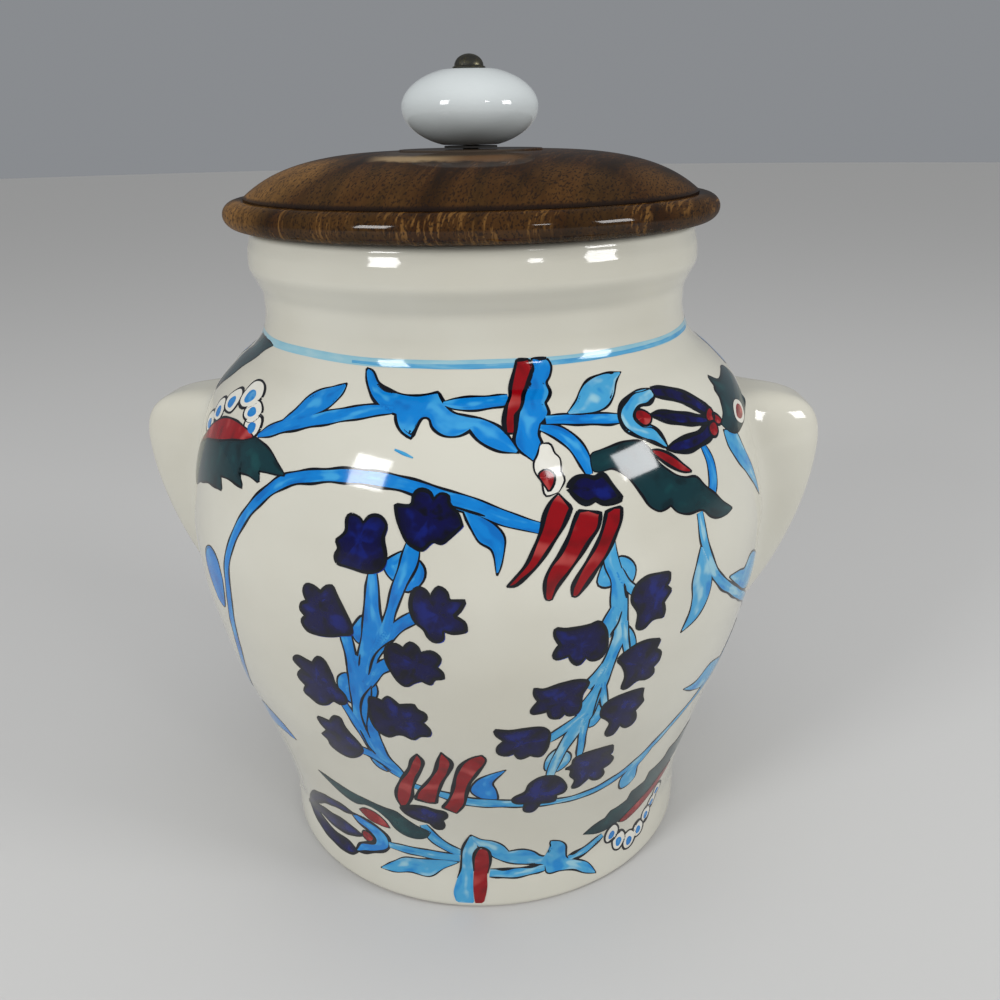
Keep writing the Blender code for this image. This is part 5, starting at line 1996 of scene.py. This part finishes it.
# The tulips and the clusters of red petals, which have bolder outlines.
BOLD_HEADS: Shapes = (
    Leaf(Paint.MIST, (72.2, 171.6), ((71.6, 172.9, 1), (64.8, 172.9), (59.8, 171.4), (55.9, 169.3),
        (53.8, 166.4), (54.1, 163.2), (56.6, 161.1), (59.4, 159.6), (63, 157.9), (66.6, 155.8, 1)),
        ((71.4, 170.2, 1), (67.3, 168.6), (63.4, 168.6), (61.2, 167.5), (59.4, 165.4), (61.2, 162.9),
        (63.4, 162.5), (65.5, 161.1), (66.9, 158.6)), (67.8, 155.8), 1.2),
    Leaf(Paint.COBALT, (71.8, 171.6), ((72, 173.1, 1), (76.6, 172.5), (81.6, 171.1), (86.6, 168.6),
        (90.5, 165.4), (94.2, 161)), ((71.8, 170.1, 1), (76.6, 168.5), (80.1, 166.9), (84.4, 164.4),
        (88, 161.9), (91.2, 160.2)), (94, 159), 1.2),
    Leaf(Paint.COBALT, (64.6, 165.4), ((69.4, 165.6), (75.1, 164.5), (80.1, 163.1), (85.1, 161.4),
        (89.6, 160)), ((68, 163.7), (72.3, 161.9), (78, 160.2), (83.7, 159.1), (88.8, 158.2)),
        (92.4, 158.6), 1.2),
    Leaf(Paint.COBALT, (66.8, 155.4), ((70.6, 156.6), (78, 157), (83.7, 157), (89.6, 158.2)),
        ((70.6, 153.9), (76.6, 153), (82.3, 153.4), (88.8, 154.2)), (92.4, 156.4), 1.2),
    Blot(Paint.RED, (62.4, 165.1), ((59.4, 165.4), (60.9, 167.5), (63.4, 167.3), (65.6, 165),
        (63.4, 162.9), (60.9, 163)), 0.7),
    Blot(Paint.RED, (92.2, 159.8), ((89.4, 159.4), (91.2, 161.4), (94.4, 161.9), (94.6, 159),
        (92, 158)), 0.7),
    Blot(Paint.RED, (95.4, 158), ((93.6, 157.4), (94, 160), (96.2, 159.4), (98.2, 157.2),
        (95.8, 156.2)), 0.7),
    Blot(Paint.RED, (91.2, 156.2), ((88.6, 156.4), (90.4, 158), (93.6, 157.6), (93.8, 155.2),
        (91.4, 153.8), (89.2, 154.4)), 0.7),
    Leaf(Paint.COBALT, (-92.6, 12.8), ((-86.2, 18.4), (-79.5, 24), (-71.2, 27.9), (-62, 29.8),
        (-54, 29.8)), ((-83.7, 16.6), (-77, 20.8), (-70.4, 24.1), (-62, 26.6), (-54, 27.4)),
        (-48.6, 28.2), 1.2),
    Leaf(Paint.SKY, (-51.6, 28.9), ((-43.7, 28.2), (-37.9, 26.2), (-34, 22.9), (-34, 18.8),
        (-37, 15.4), (-43.7, 12.6), (-50, 10.4)), ((-48.7, 24.9), (-43.7, 22.4), (-41.2, 19.8),
        (-42.2, 17.5), (-47, 15.6), (-51.2, 13.6)), (-54.4, 9.4), 1.2),
    Leaf(Paint.COBALT, (-86.4, 15.4), ((-76.4, 19.4), (-65.4, 20.8), (-57, 21.2)), ((-76.4, 15.4),
        (-65.4, 14.6), (-55.4, 15.8)), (-47.4, 18.6), 1.1),
    Leaf(Paint.COBALT, (-92.4, 13.8), ((-82, 14.6), (-73.7, 12.8), (-65.4, 11.6), (-58.4, 11.8)),
        ((-87.4, 11), (-77.4, 8.2), (-66.4, 6.9), (-57.4, 7.2)), (-52.8, 9.4), 1.1),
    Blot(Paint.RED, (-45, 19.3), ((-48, 19.2), (-46.6, 21.6), (-43.4, 21.4), (-41.6, 19.6),
        (-43.6, 17.4), (-46.6, 17.2)), 0.6),
    Leaf(Paint.RED, (30, 149.3), ((27.9, 147.6), (25.9, 144.6), (24.4, 140.2), (22.6, 136.5),
        (20.3, 132.2), (17.6, 129.2)), ((33.2, 145.4, 1), (30.6, 140.9), (27.7, 137.2), (24.8, 133.5),
        (22.5, 130.9), (19.6, 128.5), (17, 126.7)), (15, 126.6), coat=5),
    Leaf(Paint.RED, (38, 144), ((35.2, 144.3, 1), (33.6, 141.7), (31.8, 138), (29.2, 133.9),
        (26.4, 130.5), (25, 127.5), (24.7, 124.4), (24.9, 122.4, 1)), ((41.4, 142.9, 1), (40.4, 139.4),
        (37.4, 136.1), (34.4, 132.4), (31.4, 129), (28.1, 125.3), (26.6, 122.2, 1)), (25.8, 122),
        coat=5),
    Leaf(Paint.RED, (45.6, 143.6), ((43.2, 143, 1), (41.5, 138.7), (39.4, 135), (36.6, 131.3),
        (33.7, 127.5), (32.1, 124.6), (32, 122.4, 1)), ((47.9, 143.5, 1), (47.3, 140.2), (45.4, 136.8),
        (42.6, 132.4), (39.6, 129), (36.7, 125.7), (33.7, 122.4, 1)), (32.8, 122), coat=5),
    Blot(Paint.COBALT, (40.4, 149.4), ((33.2, 150.2), (35.2, 152.5), (38.1, 152.9), (41.1, 152),
        (43.4, 152.6), (45.6, 149.9), (48.3, 145.6, 1), (45.2, 145.2), (42.4, 145.3), (40.4, 146.6, 1),
        (37.8, 145.9), (35.4, 147.2)), 1.4),
    Leaf(Paint.WHITE, (26.4, 162.2), ((29.4, 161.9), (30.2, 159.5, 1), (31.6, 158), (31.4, 154.6, 1),
        (32.2, 152.6)), ((25.2, 159.4), (24, 157.6), (24, 155.2), (25.8, 152.6, 1), (26.4, 149)),
        (30.2, 149.6), 0.45, 4),
    Blot(Paint.RED, (27.3, 153.4), ((24.9, 154.4), (27, 155.6), (29.4, 154.2), (29, 151.7),
        (27.4, 149.8, 1), (26, 152.2)), 0.5),
    Leaf(Paint.RED, (-12.8, 69.6), ((-15, 66.4), (-17, 61.4), (-21.2, 54.8), (-24, 48.9),
        (-24.6, 44.8)), ((-11.4, 66.4), (-12.5, 62.3), (-15, 57.3), (-17, 52.3), (-18.3, 47.3),
        (-21.2, 42.6)), (-23.6, 41.2), coat=5),
    Leaf(Paint.RED, (-5, 71.2), ((-6.2, 68.1), (-7.9, 62.3), (-11.2, 56.4), (-15.4, 50.6),
        (-17.2, 46.6, 1)), ((-2.2, 66.6), (-3.7, 61.4), (-6.2, 56.4), (-8.3, 50.6), (-9.5, 45.8, 1)),
        (-12.6, 45.4), coat=5),
    Leaf(Paint.RED, (7.4, 70.2), ((4.4, 69.2), (1, 66), (-1.3, 60.6), (-2.6, 54.8), (-4.4, 48.9),
        (-7.6, 43.8, 1)), ((8.6, 68), (5.6, 61.4), (3, 56.4), (1.7, 51.4), (0.4, 45.6)), (-2.6, 41.2),
        coat=5),
    Blot(Paint.COBALT, (-14.8, 38.6), ((-23.8, 41), (-19.5, 42.4), (-14.1, 43), (-10.4, 41.8),
        (-7, 40.9), (-6.8, 39), (-8.8, 37.2, 1), (-8.4, 34.8), (-9.4, 32.9), (-11.6, 32.8),
        (-13.4, 34.8, 1), (-16.6, 35.6), (-20.4, 36.8), (-23, 38.4)), 1.3),
)


@dataclass(frozen=True)
class Ornament:
    """All the paint of the jar: two like fields, front and back, and a wash round the neck."""

    wall: Wall
    brush: Brush = Brush()
    bold_edge: float = 1.45
    neck_low: float = 184.6
    neck_high: float = 186.9
    neck_step: float = 2.4
    neck_stroke: Stroke = Stroke(
        Paint.NECK, ((-40.0, 185.4, 0.7), (0.0, 185.3, 1.3), (60.0, 185.2, 1.2), (130.0, 185.2, 1.1)), 0.0
    )

    def films(self) -> Films:
        """Draw both fields; the back one is the front one moved half way round the belly.

        Returns:
            The films of all colours.
        """
        films = Films(self.wall)
        half_way = math.pi * self.wall.shape.belly_radius / MM
        for offset in (0.0, half_way):
            for shape in self.shapes():
                shape.moved(offset).draw(films, self.brush)
        self.neck_wash(films, 2.0 * half_way)
        for offset in (0.0, half_way):
            self.neck_stroke.moved(offset).draw(films, self.brush)
        return films

    def shapes(self) -> Shapes:
        """Return the shapes of one field, in the order in which they are drawn.

        Returns:
            The shapes.
        """
        bold = tuple(replace(shape, edged=self.bold_edge * shape.edged, over=True) for shape in BOLD_HEADS)
        beads = sum((arch.shapes() for arch in BEAD_ARCHES), ())
        return CLOUD_BANDS + VINES + HYACINTHS + FLOWER_HEADS + bold + beads

    def neck_wash(self, films: Films, round_length: float) -> None:
        """Lay the pale wash all round the shoulder, slightly wavering.

        Args:
            films: The films to add to.
            round_length: Length once round the belly, in millimetres.
        """
        along = np.linspace(0.0, round_length, round(round_length / self.neck_step) + 1)
        waver = 0.12 * np.sin(along * 0.11) + 0.08 * np.sin(along * 0.047 + 1.0)
        middle = (self.neck_low + self.neck_high) / 2.0 + waver
        half = (self.neck_high - self.neck_low) / 2.0
        across = np.linspace(-half, half, 4)
        grid = np.stack(np.broadcast_arrays(along[:, None], middle[:, None] + across), axis=-1)
        films.add(Paint.WASH, grid, 0.0)


@dataclass(frozen=True)
class BeadArch:
    """A chain of white beads with a blue drop in each; every bead lies over the one before it."""

    beads: tuple[tuple[float, float, float, float], ...]
    first_coat: float = 4.0
    coat_step: float = 0.6
    drop_share: float = 0.52

    def shapes(self) -> Shapes:
        """Return the beads and their drops, each an oval of centre and half widths.

        Returns:
            The shapes.
        """
        shapes: list[Shape] = []
        for number, (u, s, half_u, half_s) in enumerate(self.beads):
            rim = self.oval(u, s, half_u, half_s)
            shapes.append(Blot(Paint.WHITE, (u, s), rim, 1.3, self.first_coat + number * self.coat_step))
            drop = self.oval(u, s - 0.2 * half_s, self.drop_share * half_u, self.drop_share * half_s)
            shapes.append(Blot(Paint.DROP, (u, s), drop, 0.0))
        return tuple(shapes)

    @staticmethod
    def oval(u: float, s: float, half_u: float, half_s: float) -> Pairs:
        """Return eight points of an oval, pushed in and out a little as a hand would.

        Args:
            u: Centre's place round the belly.
            s: Centre's place up the wall.
            half_u: Half its width.
            half_s: Half its height.

        Returns:
            The points.
        """
        turns = np.arange(8) * math.pi / 4.0
        reach = 1.0 + 0.07 * np.sin(3.0 * turns + u)
        return tuple(zip(u + half_u * reach * np.cos(turns), s + half_s * reach * np.sin(turns)))


BEAD_ARCHES = (
    BeadArch(
        ((-103, 155, 4.6, 3.1), (-97.6, 160.2, 4.4, 3.4), (-70, 161, 4.2, 3.1),
         (-90.2, 165, 4.9, 3.7), (-73.6, 165, 4.6, 2.9), (-80.4, 169.2, 6, 4.3))
    ),
    BeadArch(
        ((96, 21, 3, 2.6), (93.4, 17, 3, 2.6), (89.8, 13.2, 3.2, 2.8), (84, 9.8, 3.4, 2.8),
         (77.2, 8.4, 3.8, 3.2), (70.4, 11, 3.6, 3.4), (65.6, 15.8, 3.4, 3.6))
    ),
)


@dataclass(frozen=True)
class GlazedPaint:
    """Brushed colour under the clear glaze: thin where the brush was dry, deep where it pooled."""

    paint: Paint
    name: str
    body: Colour
    deep: Colour
    thin: Colour
    streak: float = 0.8
    rim: float = 0.3
    flow: Spot = (0.9, 1.6)
    blotch: float = 130.0
    along: float = 0.5

    def material(self, skin: Tree) -> Material:
        """Build the material on the glaze skin's group, from the film's own map.

        The map's first value runs along the stroke in centimetres, and its second goes from 0 at one
        edge over a half in the middle to 1 at the other.

        Args:
            skin: The glaze skin's group.

        Returns:
            The material.
        """
        material, recipe, shader = new_material(self.name, Slot.GLAZE)
        group = recipe.add("ShaderNodeGroup", node_tree=skin, Specks=0.0).outputs
        brushed = recipe.add("ShaderNodeUVMap", uv_map=BRUSH_MAP).outputs["UV"]
        flow = recipe.noise(recipe.stretched(brushed, (*self.flow, 1.0)), 1.0, 1.0)
        blotch = recipe.product(recipe.noise(recipe.place(), self.blotch), 1.0 - self.along)
        mixed = recipe.maths("MULTIPLY_ADD", flow, self.along, blotch)
        off = recipe.maths("ABSOLUTE", recipe.maths("MULTIPLY_ADD", recipe.parts(brushed)["Y"], 2.0, -1.0))
        rich = recipe.product(recipe.span(mixed, 0.47, 0.36), self.streak)
        lean = recipe.product(recipe.span(mixed, 0.50, 0.62), self.streak)
        tone = recipe.mix(lean, recipe.mix(rich, self.body, self.deep), self.thin)
        tone = recipe.mix(recipe.span(off, 0.45, 1.0, 0.0, self.rim), tone, self.deep)
        recipe.dress(shader, tone, group["Roughness"], group["Height"], IOR=GLAZE_IOR)
        return material


# Each paint's body, deep and thin colours, and then how it streaks, pools and flows.
PAINTS = (
    GlazedPaint(
        Paint.WASH, "paint_pale_wash",
        (0.24, 0.44, 0.52), (0.17, 0.38, 0.50), (0.33, 0.50, 0.54), 0.5,
    ),
    GlazedPaint(
        Paint.BLEED, "paint_slipped_cobalt",
        (0.004, 0.012, 0.19), (0.002, 0.004, 0.09), (0.03, 0.07, 0.34), 0.8, 0.0,
    ),
    GlazedPaint(
        Paint.NECK, "paint_neck_blue",
        (0.08, 0.30, 0.50), (0.04, 0.22, 0.45), (0.18, 0.40, 0.53), 0.6, 0.2,
    ),
    GlazedPaint(
        Paint.SKY, "paint_sky_blue",
        (0.002, 0.170, 0.51), (0.001, 0.105, 0.38), (0.05, 0.32, 0.60), 0.8, 0.15,
    ),
    GlazedPaint(
        Paint.MIST, "paint_watered_blue",
        (0.05, 0.29, 0.52), (0.008, 0.19, 0.48), (0.24, 0.46, 0.56), 1.0, 0.2,
    ),
    GlazedPaint(
        Paint.GREEN, "paint_dark_green",
        (0.002, 0.026, 0.033), (0.001, 0.010, 0.014), (0.004, 0.050, 0.055),
    ),
    GlazedPaint(
        Paint.COBALT, "paint_cobalt",
        (0.001, 0.001, 0.042), (0.001, 0.001, 0.008), (0.002, 0.007, 0.115), 1.0, 0.7, (1.6, 1.2), 190.0, 0.3,
    ),
    GlazedPaint(
        Paint.RED, "paint_red",
        (0.215, 0.001, 0.004), (0.110, 0.001, 0.003), (0.40, 0.060, 0.055), 0.8, 0.15, (1.4, 0.4), 110.0, 0.7,
    ),
    GlazedPaint(
        Paint.WHITE, "paint_white",
        (0.62, 0.61, 0.55), (0.56, 0.55, 0.50), (0.66, 0.65, 0.61), 0.5, 0.1,
    ),
    GlazedPaint(
        Paint.DROP, "paint_bead_blue",
        (0.01, 0.18, 0.48), (0.005, 0.12, 0.40), (0.10, 0.32, 0.56), 0.7, 0.0,
    ),
    GlazedPaint(
        Paint.LINE, "paint_black_line",
        (0.002, 0.003, 0.006), (0.001, 0.001, 0.002), (0.005, 0.008, 0.013), 0.6, 0.0,
    ),
)


CREAM_GLAZE = Glaze("cream_glaze", (0.545, 0.535, 0.468), (0.505, 0.49, 0.42), bare_below=0.0006)
WHITE_PORCELAIN = Glaze(
    "white_porcelain", (0.54, 0.575, 0.58), (0.48, 0.515, 0.52), Slot.PORCELAIN, 0.06, 0.25, 0.0
)
CLEAR_SILICONE = SoftSeal("clear_silicone", (0.72, 0.72, 0.69), Slot.SILICONE, 0.35, 0.4)
BLACK_FIBRE = SoftSeal("black_fibre", (0.03, 0.028, 0.026), Slot.FIBRE, 0.85)
ANTIQUE_BRASS = Patina("antique_brass", (0.11, 0.10, 0.062), (0.030, 0.029, 0.024), Slot.ANTIQUE_BRASS)
PLAIN_BRASS = Patina("plain_brass", (0.62, 0.46, 0.2), (0.3, 0.2, 0.08), Slot.PLAIN_BRASS, 0.35, 0.3)


def heights(box: tuple[Vector, Vector]) -> Spot:
    """Return the lowest and the highest Z of a box."""
    low, high = box
    return low[2], high[2]


def build_jar(skin: Tree) -> None:
    """Build the pot and its paint, one piece for each colour.

    Args:
        skin: The glaze skin's group.
    """
    shape = PotShape()
    finish_piece(JarBody(shape).build(), JAR_BODY, ("jar",), CREAM_GLAZE.material(skin))
    films = Ornament(Wall(shape)).films()
    for colour in PAINTS:
        film = films.build(colour.paint, colour.name)
        finish_piece(film, JAR_BODY, (), colour.material(skin))


def build_lid(skin: Tree) -> None:
    """Build the lid and all that is fixed to it, each piece at its CAD node's height.

    Args:
        skin: The glaze skin's group.
    """
    lid = WoodenLid(base=heights(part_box("lid"))[0] + WoodenLid.plug_depth)
    knob = KnobSet(*heights(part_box("knob")))
    finish_piece(lid.build(), LID_BODY, ("lid",), StainedWood().material())
    seal = SealRing(*heights(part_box("lid_gasket"))).build()
    finish_piece(seal, LID_BODY, ("lid_gasket",), CLEAR_SILICONE.material())
    finish_piece(knob.build_knob(), LID_BODY, ("knob",), WHITE_PORCELAIN.material(skin))
    cushion = knob.build_ring("cushion_ring", knob.cushion_radius, *heights(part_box("knob_cushion")))
    finish_piece(cushion, LID_BODY, ("knob_cushion",), BLACK_FIBRE.material())
    bolt = knob.build_bolt(*heights(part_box("knob_bolt")))
    finish_piece(bolt, LID_BODY, ("knob_bolt",), ANTIQUE_BRASS.material())
    washer = knob.build_ring("washer_ring", knob.washer_radius, *heights(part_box("lid_washer")))
    brass = PLAIN_BRASS.material()
    finish_piece(washer, LID_BODY, ("lid_washer",), brass)
    nut = bpy.data.objects["lid_nut"]
    nut.data.materials.clear()
    nut.data.materials.append(brass)


def main() -> None:
    """Load the frame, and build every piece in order."""
    logging.basicConfig(level=logging.INFO, format="%(message)s")
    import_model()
    bpy.context.scene.view_settings.view_transform = "Standard"
    skin = GlazeSkin().group()
    build_jar(skin)
    build_lid(skin)
    Studio().build()


if __name__ == "__main__":
    main()
